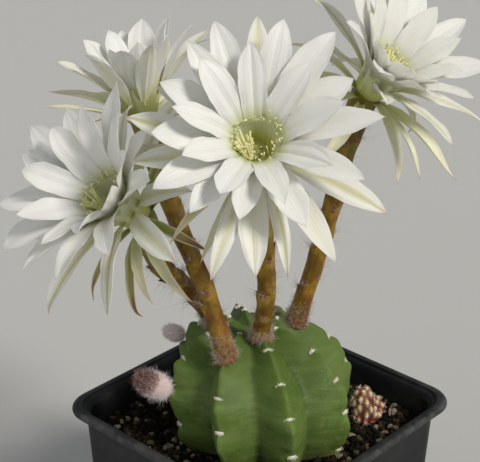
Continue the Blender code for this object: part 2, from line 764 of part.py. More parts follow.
def seat_cutter(flower):
    """The hollow in the body that a tube's foot stands in."""
    here, out, _, _ = crest_frame(flower["rib"], flower["latitude"])
    radii = [tube_radius(i / (TUBE_RINGS - 1)) + CLEARANCE for i in range(4)]
    path = tube_path(flower)[:4]
    way = (path[1] - path[0]).normalized()
    path[0] = path[0] - way * CLEARANCE
    return swept("seat", path, lambda share: radii[round(share * 3)], TUBE_SIDES)


def main():
    clear_scene()
    plastic = material("pot_plastic", (0.035, 0.04, 0.042), 0.45)
    grit = material("soil", (0.06, 0.05, 0.035), 0.95)
    green = material("cactus_skin", (0.16, 0.27, 0.09), 0.5)
    tube_skin = material("tube_skin", (0.36, 0.24, 0.06), 0.55)
    white = material("petal_white", (0.88, 0.88, 0.84), 0.5)
    pale_green = material("throat_green", (0.72, 0.74, 0.28), 0.5)
    wool = material("bud_wool", (0.55, 0.42, 0.38), 0.9)
    knobs = material("offset_skin", (0.5, 0.3, 0.2), 0.8)

    make_pot(plastic)
    make_soil(grit)
    body = make_body(green)
    for name, flower in FLOWERS.items():
        placed(smooth(make_tube(name, flower, tube_skin)))
        placed(smooth(make_bloom(name, flower, white)))
        placed(smooth(make_throat(name, flower, pale_green)))
    fused(body, [seat_cutter(f) for f in FLOWERS.values()], "DIFFERENCE")
    placed(smooth(body))
    for name, bud in BUDS.items():
        placed(smooth(make_bud(name, bud, wool)))
    placed(smooth(make_offsets(knobs)))


main()
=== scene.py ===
import math

import bpy
import numpy as np
from mathutils import Matrix, Vector


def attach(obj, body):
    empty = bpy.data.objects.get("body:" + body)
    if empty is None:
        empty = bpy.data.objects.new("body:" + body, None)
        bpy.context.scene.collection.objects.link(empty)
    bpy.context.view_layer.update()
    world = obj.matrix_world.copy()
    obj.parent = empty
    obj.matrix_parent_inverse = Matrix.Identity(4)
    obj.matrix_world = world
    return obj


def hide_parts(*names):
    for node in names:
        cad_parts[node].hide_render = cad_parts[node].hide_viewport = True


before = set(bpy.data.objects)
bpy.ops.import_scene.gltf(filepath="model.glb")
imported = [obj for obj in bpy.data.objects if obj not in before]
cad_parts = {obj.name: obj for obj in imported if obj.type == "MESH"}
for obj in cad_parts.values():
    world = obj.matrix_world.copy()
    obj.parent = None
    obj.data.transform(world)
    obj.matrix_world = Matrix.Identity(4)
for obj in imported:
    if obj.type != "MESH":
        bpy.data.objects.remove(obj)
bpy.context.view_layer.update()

mm = 0.001
goldenAngle = math.radians(137.5)
# the plant is laid out as the camera sees it, then turned and moved to its place in the pot
plantTurn = Matrix.Rotation(math.radians(43), 4, "Z") @ Matrix.Translation((0, -9 * mm, 0))

# ---- studio

studio = {
    "cameraPlace": (-9.3, -524.6, 445.4),  # mm right of, behind and above the pot's foot
    "cameraDown": 25.0,  # degrees below level
    "lens": 102.2,
    "floorSize": 12,
    "floorDrop": 0.2 * mm,  # keeps it clear of the pot's underside
    "floorColour": (0.52, 0.52, 0.51),
    "floorShade": (0.44, 0.44, 0.43),
    "skyColour": (0.66, 0.68, 0.70),
    "skyStrength": 0.42,
    "keyFrom": (560, -420, 620),
    "keySpread": 14.0,  # degrees: a wider lamp throws softer shadows
    "keyPower": 2.55,
    "keyColour": (1.0, 0.955, 0.88),
    "fillFrom": (-700, -560, 330),
    "fillSpread": 60.0,
    "fillPower": 0.42,
}


def cornerPoint(place):
    # a point given in mm right, away and up as the camera sees it, in the scene's own frame
    return plantTurn @ (Vector(place) * mm)


def addLamp(name, comesFrom, spread, power, colour):
    lamp = bpy.data.lights.new(name, "SUN")
    lamp.angle = math.radians(spread)
    lamp.energy = power
    lamp.color = colour
    holder = bpy.data.objects.new(name, lamp)
    bpy.context.scene.collection.objects.link(holder)
    holder.location = cornerPoint(comesFrom)
    holder.rotation_euler = cornerPoint(comesFrom).to_track_quat("Z", "Y").to_euler()


def setStudio():
    camera = bpy.data.objects.new("camera", bpy.data.cameras.new("camera"))
    bpy.context.scene.collection.objects.link(camera)
    camera.location = cornerPoint(studio["cameraPlace"])
    camera.rotation_euler = (math.radians(90 - studio["cameraDown"]), 0, plantTurn.to_euler().z)
    camera.data.lens = studio["lens"]
    camera.data.clip_start = 0.01
    bpy.context.scene.camera = camera
    addLamp("keyLamp", studio["keyFrom"], studio["keySpread"], studio["keyPower"], studio["keyColour"])
    addLamp("fillLamp", studio["fillFrom"], studio["fillSpread"], studio["fillPower"], (1, 1, 1))
    world = bpy.context.scene.world = bpy.data.worlds.new("paleSky")
    world.use_nodes = True
    sky = world.node_tree.nodes["Background"]
    sky.inputs["Color"].default_value = (*studio["skyColour"], 1)
    sky.inputs["Strength"].default_value = studio["skyStrength"]
    bpy.context.scene.view_settings.view_transform = "Standard"
    print("studio: camera, two lamps and a pale sky")


# ---- materials

class Value:
    # wraps a node's socket, so that sums on it add Math nodes
    def __init__(self, maker, socket):
        self.maker, self.socket = maker, socket

    def math(self, operation, first, second):
        return self.maker.add("ShaderNodeMath", {"operation": operation}, {0: first, 1: second})

    def __add__(self, other):
        return self.math("ADD", self, other)

    def __radd__(self, other):
        return self.math("ADD", other, self)

    def __sub__(self, other):
        return self.math("SUBTRACT", self, other)

    def __mul__(self, other):
        return self.math("MULTIPLY", self, other)

    def __abs__(self):
        return self.math("ABSOLUTE", self, 0.0)


class Finish:
    # a material that is being put together round its Principled shader
    def __init__(self, name, roughness, **constants):
        self.material = bpy.data.materials.new(name)
        self.material.use_nodes = True
        self.tree = self.material.node_tree
        self.shader = self.tree.nodes["Principled BSDF"]
        self.rough(roughness)
        for socket, value in constants.items():
            self.feed(self.shader.inputs[socket], value)

    def feed(self, socket, value):
        if isinstance(value, Value):
            self.tree.links.new(value.socket, socket)
        elif isinstance(value, (tuple, list)) and len(value) == 3 and socket.type == "RGBA":
            socket.default_value = (*value, 1)
        else:
            socket.default_value = value

    def add(self, kind, settings, inputs, output=0):
        # one node of any kind: its settings first, then what its sockets take
        node = self.tree.nodes.new(kind)
        for key, value in settings.items():
            if key == "stops":
                for stop in value[2:]:
                    node.color_ramp.elements.new(stop[0])
                for element, (place, colour) in zip(node.color_ramp.elements, value):
                    element.position = place
                    element.color = (*colour, 1)
            else:
                setattr(node, key, value)
        for socket, value in inputs.items():
            self.feed(node.inputs[socket], value)
        return Value(self, node.outputs[output])

    def place(self):
        return self.add("ShaderNodeTexCoord", {}, {}, "Object")

    def uv(self, across=True):
        both = self.add("ShaderNodeTexCoord", {}, {}, "UV")
        return self.add("ShaderNodeSeparateXYZ", {}, {0: both}, 0 if across else 1)

    def attribute(self, name):
        return self.add("ShaderNodeAttribute", {"attribute_name": name}, {}, "Fac")

    def noise(self, scale, detail=3.0, vector=None, roughness=0.5):
        return self.add("ShaderNodeTexNoise", {}, {
            "Vector": vector or self.place(), "Scale": scale, "Detail": detail, "Roughness": roughness})

    def stretched(self, scales, vector=None):
        # coordinates drawn out for a grain: small scales make long marks
        return self.add("ShaderNodeMapping", {}, {"Vector": vector or self.place(), "Scale": scales})

    def uvStretched(self, scales):
        return self.stretched(scales, self.add("ShaderNodeTexCoord", {}, {}, "UV"))

    def ramp(self, factor, *stops):
        made = self.add("ShaderNodeValToRGB", {"stops": stops}, {"Fac": factor})
        made.socket.node.color_ramp.interpolation = "EASE"
        return made

    def within(self, value, low, high):
        # 0 below low, 1 above high, and smooth between them
        settings = {"interpolation_type": "SMOOTHSTEP"}
        return self.add("ShaderNodeMapRange", settings, {"Value": value, "From Min": low, "From Max": high})

    def mix(self, factor, first, second):
        return self.add("ShaderNodeMix", {"data_type": "RGBA"}, {0: factor, 6: first, 7: second}, 2)

    def colour(self, value):
        self.skin = value
        self.feed(self.shader.inputs["Base Color"], value)

    def cover(self, mask, colour):
        # lays a colour over what the finish has so far, as far as the mask says
        self.colour(self.mix(mask, self.skin, colour))

    def rough(self, value):
        self.feed(self.shader.inputs["Roughness"], value)

    def bump(self, height, distance):
        made = self.add("ShaderNodeBump", {}, {"Strength": 1.0, "Distance": distance, "Height": height})
        self.feed(self.shader.inputs["Normal"], made)

    def translucent(self, weight, radius, scale):
        self.shader.inputs["Subsurface Weight"].default_value = weight
        self.shader.inputs["Subsurface Radius"].default_value = radius
        self.shader.inputs["Subsurface Scale"].default_value = scale


# ---- making and placing

def unit(way):
    return way / np.linalg.norm(way)


def swung(side, other, angle):
    # the way that lies at an angle from side towards other
    return side * math.cos(angle) + other * math.sin(angle)


def clearSelection():
    if bpy.context.mode != "OBJECT":
        bpy.ops.object.mode_set(mode="OBJECT")
    bpy.ops.object.select_all(action="DESELECT")


def startEditing():
    bpy.ops.object.mode_set(mode="EDIT")
    bpy.ops.mesh.select_all(action="SELECT")


def endEditing():
    # leaves edit mode with every face looking out
    bpy.ops.mesh.select_all(action="SELECT")
    bpy.ops.mesh.normals_make_consistent(inside=False)
    bpy.ops.object.mode_set(mode="OBJECT")


def newest(name):
    # the primitive that was just added
    obj = bpy.context.object
    obj.name = obj.data.name = name
    bpy.ops.object.transform_apply(location=True, rotation=True, scale=True)
    return obj


def pointsOf(obj):
    flat = np.empty(len(obj.data.vertices) * 3)
    obj.data.vertices.foreach_get("co", flat)
    return flat.reshape(-1, 3)


def setPoints(obj, points):
    obj.data.vertices.foreach_set("co", np.asarray(points, np.float32).ravel())
    obj.data.update()


def giveValues(obj, **layers):
    # one number for each point, or the same for all, that the material reads by its name
    for name, values in layers.items():
        layer = obj.data.attributes.new(name, "FLOAT", "POINT")
        layer.data.foreach_set("value", np.broadcast_to(values, len(obj.data.vertices)).astype(np.float32))


def applied(obj, kind, **settings):
    modifier = obj.modifiers.new(kind, kind)
    for key, value in settings.items():
        setattr(modifier, key, value)
    bpy.context.view_layer.objects.active = obj
    bpy.ops.object.modifier_apply(modifier=modifier.name)
    return obj


def dropped(*helpers):
    for obj in helpers:
        bpy.data.objects.remove(obj, do_unlink=True)


def pickEdges(obj, test):
    # selects the edges whose two ends pass the test, ready for edit mode
    for part in (*obj.data.polygons, *obj.data.vertices):
        part.select = False
    for edge in obj.data.edges:
        edge.select = test(*(obj.data.vertices[v].co for v in edge.vertices))
        if edge.select:
            for v in edge.vertices:
                obj.data.vertices[v].select = True


def makeBall(name, subdivisions):
    clearSelection()
    bpy.ops.mesh.primitive_ico_sphere_add(subdivisions=subdivisions, radius=1)
    return newest(name)


def makeStrip(name, across, along):
    # a flat strip with a top and an underside: -1 to 1 across, 0 to 1 along
    clearSelection()
    bpy.ops.mesh.primitive_grid_add(x_subdivisions=across, y_subdivisions=along, size=1)
    strip = applied(newest(name), "SOLIDIFY", thickness=1.0, offset=0.0)
    points = pointsOf(strip)
    setPoints(strip, points * (2, 1, 1) + (0, 0.5, 0))
    return strip


def makeRod(name, sides, rings):
    # a unit rod up Z, cut into rings so that it can bend
    clearSelection()
    bpy.ops.mesh.primitive_cylinder_add(vertices=sides, radius=1, depth=1, location=(0, 0, 0.5))
    rod = newest(name)
    bpy.context.tool_settings.mesh_select_mode = (False, True, False)
    pickEdges(rod, lambda a, b: abs(a.z - b.z) > 0.5)
    bpy.ops.object.mode_set(mode="EDIT")
    bpy.ops.mesh.subdivide(number_cuts=rings - 1)
    bpy.ops.object.mode_set(mode="OBJECT")
    return rod


def makePebble(name, bevel, stretch):
    # a block with its edges cut off, for grit and anthers
    clearSelection()
    bpy.ops.mesh.primitive_cube_add(size=2)
    pebble = newest(name)
    startEditing()
    bpy.ops.mesh.bevel(offset=bevel, segments=1)
    bpy.ops.transform.resize(value=stretch)
    bpy.ops.object.mode_set(mode="OBJECT")
    return pebble


def raisedThrough(outline):
    # extrudes the face that is open in edit mode through (size, height) steps
    size, height = outline[0]
    for nextSize, nextHeight in outline[1:]:
        bpy.ops.mesh.extrude_region_move(TRANSFORM_OT_translate={"value": (0, 0, nextHeight - height)})
        ratio = nextSize / size
        bpy.ops.transform.resize(value=(ratio, ratio, 1), center_override=(0, 0, nextHeight))
        size, height = nextSize, nextHeight


def makeTurned(name, outline, sides):
    # a closed round body raised from a disc through (radius, height) steps
    clearSelection()
    radius, height = outline[0]
    bpy.ops.mesh.primitive_circle_add(
        vertices=sides, radius=radius, fill_type="TRIFAN", location=(0, 0, height))
    body = newest(name)
    startEditing()
    raisedThrough(outline)
    endEditing()
    return body


def copied(name, blank, spots, tones=None):
    # one mesh that holds a copy of the blank at each set of points in spots
    spots = np.asarray(spots)
    count, size = len(spots), len(blank.data.vertices)
    corners = [tuple(face.vertices) for face in blank.data.polygons]
    faces = [tuple(v + copy * size for v in face) for copy in range(count) for face in corners]
    mesh = bpy.data.meshes.new(name)
    mesh.from_pydata(spots.reshape(-1, 3).tolist(), [], faces)
    if blank.data.uv_layers:
        flat = np.empty(len(blank.data.loops) * 2)
        blank.data.uv_layers[0].data.foreach_get("uv", flat)
        mesh.uv_layers.new(name="UVMap").data.foreach_set("uv", np.tile(flat, count))
    obj = bpy.data.objects.new(name, mesh)
    bpy.context.scene.collection.objects.link(obj)
    giveValues(obj, tone=0.0 if tones is None else np.repeat(tones, size))
    return obj


def strandPoints(rod, strands, radius, taper, wave):
    # bends a rod into each strand: it sets off from its root along its way and bends by its sag
    local = pointsOf(rod)
    share = local[None, :, 2:3]
    roots, ways, sags = (np.array([strand[k] for strand in strands])[:, None, :] for k in range(3))
    lengths = np.array([strand[3] for strand in strands])[:, None, None]
    way = ways + 2 * sags * share
    way /= np.linalg.norm(way, axis=2, keepdims=True)
    side = np.cross(way, (0.31, 0.55, 0.77))
    side /= np.linalg.norm(side, axis=2, keepdims=True)
    other = np.cross(way, side)
    phase = np.arange(len(strands))[:, None, None] * 2.4
    sway = side * np.sin(9 * share + phase) + other * np.cos(7 * share + phase)
    middle = roots + lengths * (ways * share + sags * share**2 + wave * share * sway)
    girth = radius * (1 - taper * share)
    return middle + girth * (side * local[None, :, 0:1] + other * local[None, :, 1:2])


def grown(name, rod, strands, radius, tones=None, taper=0.8, wave=0.0):
    # one mesh of strands, each given as its root, way, sag and length, and its tone if it has its own
    if len(strands[0]) > 4:
        tones = [strand[4] for strand in strands]
    return copied(name, rod, strandPoints(rod, strands, radius, taper, wave), tones)


def joined(first, *others):
    # joins pieces of one kind into the first
    clearSelection()
    for obj in (first, *others):
        obj.select_set(True)
    bpy.context.view_layer.objects.active = first
    bpy.ops.object.join()
    return first


def kept(obj, finish, nodes=(), turn=plantTurn, angle=50):
    # gives a finished piece its material, its place and its body
    if turn is not None:
        obj.data.transform(turn)
    obj.data.materials.clear()
    obj.data.materials.append(finish.material)
    clearSelection()
    obj.select_set(True)
    bpy.context.view_layer.objects.active = obj
    bpy.ops.object.shade_smooth_by_angle(angle=math.radians(angle))
    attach(obj, "root")
    if nodes:
        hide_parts(*nodes)
    print(f"{obj.name}: {sum(len(face.vertices) - 2 for face in obj.data.polygons)} triangles")


# ---- pot

pot = {
    "height": 111 * mm,
    "side": 130 * mm,  # outside of the lip
    "lipOverhang": 5.5 * mm,
    "lipDepth": 3.2 * mm,
    "lipWidth": 5.7 * mm,
    "baseSide": 108 * mm,
    "wall": 1.8 * mm,
    "corner": 14.2 * mm,
    "cornerSteps": 14,
    "holeRadius": 5 * mm,
    "holePlace": 32 * mm,
    "colour": (0.010, 0.012, 0.0125),
    # the pale colour of dust, also used for the painted highlight on the lip's outer shoulder
    "dust": (0.095, 0.10, 0.098),
}


def potSide(height):
    top = pot["side"] - 2 * pot["lipOverhang"]
    return pot["baseSide"] + (top - pot["baseSide"]) * height / (pot["height"] - pot["lipDepth"])


def potCorner(side):
    return pot["corner"] - (pot["side"] - side) / 2 * 0.6


def potOutline():
    # (side, height) steps up the outside, over the rolled lip and down the inside
    top, lipLow = pot["height"], pot["height"] - pot["lipDepth"]
    base, wall = pot["baseSide"], pot["wall"]
    steps = [(base - 2 * mm, 0.0), (base - 0.6 * mm, 0.4 * mm), (base, 1.2 * mm)]
    steps += [(potSide(h * mm), h * mm) for h in (6, 30, 60, 90)]
    steps += [(potSide(lipLow), lipLow - 0.6 * mm), (potSide(lipLow) + 0.6 * mm, lipLow)]
    # the lip's three bends: where each one's middle lies, how wide and how high it is, and its angles
    bends = [
        (pot["side"] - 2.6 * mm, lipLow + 1.3 * mm, 2.6 * mm, 1.3 * mm, (-90, -58.5, -27, 0)),
        (pot["side"] - 4.2 * mm, top - 1.8 * mm, 4.2 * mm, 1.8 * mm, (0, 18, 36, 54, 72, 90)),
        (pot["side"] - 2 * pot["lipWidth"], top - 0.05 * mm, 3.2 * mm, 1.6 * mm, (0, -27, -49.5, -72, -90)),
    ]
    for side, height, width, rise, angles in bends:
        for angle in np.radians(angles):
            steps.append((side + width * math.cos(angle), height + rise * math.sin(angle)))
    steps += [(potSide(lipLow) - 2 * wall, lipLow - 0.6 * mm), (potSide(60 * mm) - 2 * wall, 60 * mm)]
    return [*steps, (base - 2 * wall, wall * 1.4)]


def potFinish():
    look = Finish("potPlastic", 0.42, **{"Specular IOR Level": 0.16})
    grain = look.noise(1400, 2)
    haze = look.noise(38, 4, roughness=0.65)
    height = look.add("ShaderNodeSeparateXYZ", {}, {0: look.place()}, 2)
    scuffs = look.within(look.noise(26, 5, look.stretched((1, 1, 7)), 0.7), 0.56, 0.72)
    splash = look.within(look.noise(260, 3), 0.62, 0.70) * look.within(height, 0.03, 0.0)
    # the lip's outer shoulder is paler: partly wear and dust, partly a painted highlight
    shoulder = look.attribute("shoulder")
    wearAndHighlight = look.within(look.noise(150, 5, roughness=0.7), 0.42, 0.66) * shoulder
    dust = look.within(haze + shoulder * 0.24, 0.46, 0.85) * 0.4 + wearAndHighlight * 0.45
    dust = dust + scuffs * 0.12 + splash * 0.4
    # dust, scuffs, splashes and the painted highlight on the shoulder all mix to this pale colour
    look.colour(look.mix(dust, pot["colour"], pot["dust"]))
    look.rough(0.36 + haze * 0.16 + dust * 0.25)
    look.bump(grain * 0.6 + haze * 0.5, 0.00012)
    return look


def makePot():
    outline = potOutline()
    clearSelection()
    start = outline[0][0]
    bpy.ops.mesh.primitive_plane_add(size=start)
    obj = newest("potShell")
    startEditing()
    bpy.ops.mesh.bevel(
        offset=potCorner(start), offset_type="OFFSET", segments=pot["cornerSteps"], affect="VERTICES")
    bpy.ops.mesh.select_all(action="SELECT")
    raisedThrough(outline)
    endEditing()
    # each ring's corners keep their own radius, as the moulded pot's do
    points = pointsOf(obj)
    rings = points.reshape(len(outline), -1, 3)
    quarter, step = np.divmod(np.arange(rings.shape[1]), pot["cornerSteps"] + 1)
    middle = np.radians(90 * quarter - 135)
    angle = middle + np.radians(90 * (step / pot["cornerSteps"] - 0.5))
    for ring in rings:
        order = np.argsort(np.arctan2(ring[:, 1], ring[:, 0]))
        side = 2 * np.abs(ring[:, :2]).max()
        corner = potCorner(side)
        for axis, wave in enumerate((np.cos, np.sin)):
            ring[order, axis] = np.sign(wave(middle)) * (side / 2 - corner) + corner * wave(angle)
    setPoints(obj, points)
    drills = []
    for x, y in ((-1, -1), (-1, 1), (1, -1), (1, 1)):
        clearSelection()
        bpy.ops.mesh.primitive_cylinder_add(
            vertices=32, radius=pot["holeRadius"], depth=12 * mm,
            location=(x * pot["holePlace"], y * pot["holePlace"], 0))
        drills.append(newest("drill"))
    cutter = joined(*drills)
    applied(obj, "BOOLEAN", operation="DIFFERENCE", object=cutter, solver="MANIFOLD")
    dropped(cutter)
    # dust settles and handling dulls the lip's outer shoulder, and a painted highlight lies along it
    points = pointsOf(obj)
    over = np.maximum(np.abs(points[:, :2]) - pot["side"] / 2 + pot["corner"], 0)
    shoulder = np.clip((np.linalg.norm(over, axis=1) - pot["corner"] + 3.0 * mm) / (2.2 * mm), 0, 1)
    giveValues(obj, shoulder=shoulder * (points[:, 2] > pot["height"] - pot["lipDepth"] + 0.5 * mm))
    kept(obj, potFinish(), ["pot"], turn=None, angle=35)


# ---- soil

soil = {
    "top": 98 * mm,
    "depth": 12 * mm,  # how far down the finer bed reaches
    "cells": 96,
    "relief": 1.1 * mm,
    "stones": 1500,
    "crumbs": 3600,
    "clearing": 31 * mm,  # no grit nearer the plant's foot than this
    "heapPlace": 40 * mm,  # the grit is heaped in a ring round the plant
    "heapWidth": 5 * mm,
    "heapRise": 2.2 * mm,
    "seed": 4,
}


def insideSquare(x, y, side, corner):
    # pulls points that lie outside a round-cornered square onto its edge
    reach, spot = side / 2 - corner, np.stack([x, y])
    over = np.maximum(np.abs(spot) - reach, 0)
    length = np.hypot(*over)
    pull = np.where(length > corner, corner / np.maximum(length, 1e-9), 1.0)
    return np.sign(spot) * (np.minimum(np.abs(spot), reach) + over * pull)


def soilHeight(x, y):
    # the bed's lumps, lower than the stones that lie on it
    waves = np.sin(310 * x + 1.3) * np.sin(270 * y + 0.4)
    waves = waves + 0.7 * np.sin(610 * x - 420 * y) + 0.6 * np.sin(520 * y + 730 * x + 2.0)
    return soil["top"] - 0.9 * mm + waves * 0.28 * soil["relief"]


def soilFinish():
    look = Finish("soilBed", 0.95, **{"Specular IOR Level": 0.1})
    look.colour(look.ramp(
        look.noise(520, 5, roughness=0.7), (0.30, (0.002, 0.0015, 0.001)), (0.50, (0.006, 0.0045, 0.003)),
        (0.72, (0.017, 0.012, 0.007))))
    look.bump(look.noise(900, 4), 0.0006)
    return look


def gritFinish():
    look = Finish("soilGrit", 0.9, **{"Specular IOR Level": 0.15})
    tone = look.attribute("tone")
    kinds = look.ramp(
        tone, (0.0, (0.003, 0.0025, 0.0015)), (0.35, (0.008, 0.006, 0.003)),
        (0.62, (0.017, 0.0125, 0.0065)), (0.80, (0.038, 0.024, 0.012)), (0.91, (0.090, 0.062, 0.034)),
        (1.0, (0.28, 0.23, 0.16)))
    speckle = look.noise(1700, 4, roughness=0.7)
    look.colour(look.mix(look.within(speckle, 0.45, 0.7) * 0.5, kinds, (0.012, 0.010, 0.008)))
    look.bump(speckle + look.noise(700, 2), 0.0005)
    return look


def makeSoil():
    side = potSide(soil["top"]) - 2 * (pot["wall"] + 0.4 * mm) - 0.6 * mm
    corner = pot["corner"] * 0.72
    clearSelection()
    bpy.ops.mesh.primitive_grid_add(
        x_subdivisions=soil["cells"], y_subdivisions=soil["cells"], size=side, location=(0, 0, soil["top"]))
    bed = newest("soilBed")
    startEditing()
    bpy.ops.mesh.extrude_region_move(TRANSFORM_OT_translate={"value": (0, 0, -soil["depth"])})
    bpy.ops.transform.resize(value=(0.985, 0.985, 1), center_override=(0, 0, soil["top"]))
    endEditing()
    points = pointsOf(bed)
    isTop = points[:, 2] > soil["top"] - soil["depth"] / 2
    points[:, 0], points[:, 1] = insideSquare(points[:, 0], points[:, 1], side, corner)
    points[isTop, 2] = soilHeight(points[isTop, 0], points[isTop, 1])
    setPoints(bed, points)
    kept(bed, soilFinish(), ["soil"], turn=None)
    draw = np.random.default_rng(soil["seed"])
    block, chip = makePebble("block", 0.62, (1, 1, 0.8)), makeBall("chip", 1)
    stones = scatterGrit("soilStones", block, soil["stones"], (1.0, 1.75), side, corner, draw, 0.35)
    crumbs = scatterGrit("soilCrumbs", chip, soil["crumbs"], (0.5, 1.0), side, corner, draw, 0.0)
    dropped(block, chip)
    grit = gritFinish()
    for heap in (stones, crumbs):
        kept(heap, grit, turn=None, angle=20)


def scatterGrit(name, pebble, count, sizes, side, corner, draw, pale):
    # stones lying on the bed, clear of the plant and the pot
    local = pointsOf(pebble)
    spots, tones = [], []
    footX, footY = (plantTurn @ Vector((body["shift"], 0, 0))).xy
    while len(spots) < count:
        size = draw.uniform(*sizes) * mm
        x, y = draw.uniform(-side / 2, side / 2, 2)
        edge = side - 2.2 * size
        px, py = insideSquare(np.array(x), np.array(y), edge, corner - size)
        if abs(px - x) + abs(py - y) > 1.5 * mm:
            continue
        if math.hypot(px - footX, py - footY) < soil["clearing"]:
            continue
        fromHeap = (math.hypot(px, py) - soil["heapPlace"]) / soil["heapWidth"]
        heap = 0.6 * size * draw.random() + soil["heapRise"] * math.exp(-(fromHeap**2))
        turn = np.array(Matrix.Rotation(draw.uniform(0, 6.3), 3, draw.normal(size=3)))
        shape = local * (1 + draw.normal(0, 0.16, (len(local), 1))) * draw.uniform(0.75, 1.25, 3)
        spots.append(shape @ turn.T * size + (px, py, soilHeight(px, py) + 0.25 * size + heap * 0.5))
        tones.append(min(1.0, draw.random() ** 1.3 * (0.85 + pale)))
    return copied(name, pebble, spots, tones)


# ---- cactus body

body = {
    "ribs": 8,
    "firstRib": -28.0,  # degrees from the front, to the right
    "radius": 42 * mm,
    "shift": 2 * mm,
    "equator": 25 * mm,  # above the soil
    "crownRise": 28.5 * mm,
    "baseDrop": 44 * mm,
    "furrow": 11 * mm,
    "crownDip": 5 * mm,
    "crownDipRadius": 12 * mm,
    "crownLean": (-6 * mm, 12 * mm, 0.0),
    "cellsARib": 30,
    "rings": 110,
    "areoleLatitudes": (50.0, 24.0, -2.0, -28.0),
    "areoleStagger": 13.0,
    "crownAreole": (77.0, 0.55),  # the latitude and size of the young ones near the crown
    "chinLatitudes": (76.0, -54.0),  # the crest swells here too
    "offsetScar": (3, -15),  # the rib and latitude where an offset grew
    "chin": 1.5 * mm,  # how far the crest swells under an areole
    "furrowRound": 0.22,  # how wide the furrow's floor is, as a share of half a rib
    "crestRound": 0.035,
    # painted shade for the furrow floor
    "shadedFurrowGreen": (0.034, 0.066, 0.011),
    "midGreen": (0.072, 0.128, 0.019),
    "crestGreen": (0.102, 0.168, 0.027),
    "cork": (0.22, 0.16, 0.08),
}


def crestProfile(latitude):
    angle = np.radians(latitude)
    rise = np.where(latitude > 0, body["crownRise"], body["baseDrop"])
    radius = body["radius"] * np.maximum(np.cos(angle), 0) ** 0.86
    height = body["equator"] + rise * np.sign(angle) * np.abs(np.sin(angle)) ** 0.95
    dip = np.maximum(1 - (radius / body["crownDipRadius"]) ** 2, 0) ** 1.5
    return radius, height - np.where(latitude > 0, body["crownDip"] * dip, 0)


def ribAzimuth(rib):
    return body["firstRib"] + 360.0 / body["ribs"] * rib


def fromCrest(azimuth):
    # 0 on a rib's crest and 1 in the furrow
    pitch = 360.0 / body["ribs"]
    return np.abs((azimuth - body["firstRib"] + pitch / 2) % pitch - pitch / 2) / (pitch / 2)


def furrowShare(crest):
    # flat faces that meet in a keen crest and run out in a rounded furrow
    sharp, soft = body["crestRound"], body["furrowRound"]
    eased = (np.sqrt(crest**2 + sharp**2) - sharp) / (math.sqrt(1 + sharp**2) - sharp)
    return 1 - (np.sqrt((1 - eased) ** 2 + soft**2) - soft) / (math.sqrt(1 + soft**2) - soft)


def chinAt(azimuth, latitude):
    # the crest dips at each areole and swells below it
    pitch = 360.0 / body["ribs"]
    rib = np.round((azimuth - body["firstRib"]) / pitch) % body["ribs"]
    lift = np.zeros_like(latitude)
    for low in (*body["areoleLatitudes"], *body["chinLatitudes"]):
        place = low + body["areoleStagger"] * (rib % 2)
        lift = lift + np.exp(-((latitude - place + 8) / 6) ** 2)
        lift = lift - 0.9 * np.exp(-((latitude - place - 0.5) / 3) ** 2)
    near = np.clip(1 - fromCrest(azimuth) * 1.8, 0, 1) ** 1.5
    return body["chin"] * lift * near * np.maximum(np.cos(np.radians(latitude)), 0)


def bodyPoints(azimuth, latitude, grow=0.0):
    azimuth, latitude = np.asarray(azimuth, float), np.asarray(latitude, float)
    radius, height = crestProfile(latitude)
    nextRadius, nextHeight = crestProfile(np.minimum(latitude + 0.5, 90))
    lastRadius, lastHeight = crestProfile(np.maximum(latitude - 0.5, -90))
    out = np.stack([nextHeight - lastHeight, lastRadius - nextRadius])
    out = out / np.linalg.norm(out, axis=0)
    depth = body["furrow"] * (radius / body["radius"]) ** 0.75 * furrowShare(fromCrest(azimuth))
    radius = radius + out[0] * (grow - depth)
    height = height + out[1] * (grow - depth)
    angle = np.radians(azimuth)
    lean = np.maximum(height / (body["equator"] + body["crownRise"]), 0) ** 2
    x = radius * np.sin(angle) + body["crownLean"][0] * lean + body["shift"]
    y = -radius * np.cos(angle) + body["crownLean"][1] * lean
    return np.stack([x, y, soil["top"] + height], axis=-1)


def crestFrame(rib, latitude):
    # a point on a rib's crest, with the ways out, along the crest and across it
    azimuth = ribAzimuth(rib)
    here = Vector(bodyPoints(azimuth, latitude))
    along = Vector(bodyPoints(azimuth, latitude + 2) - bodyPoints(azimuth, latitude - 2)).normalized()
    angle = math.radians(azimuth)
    across = Vector((math.cos(angle), math.sin(angle), 0))
    return here, across.cross(along).normalized(), along, across


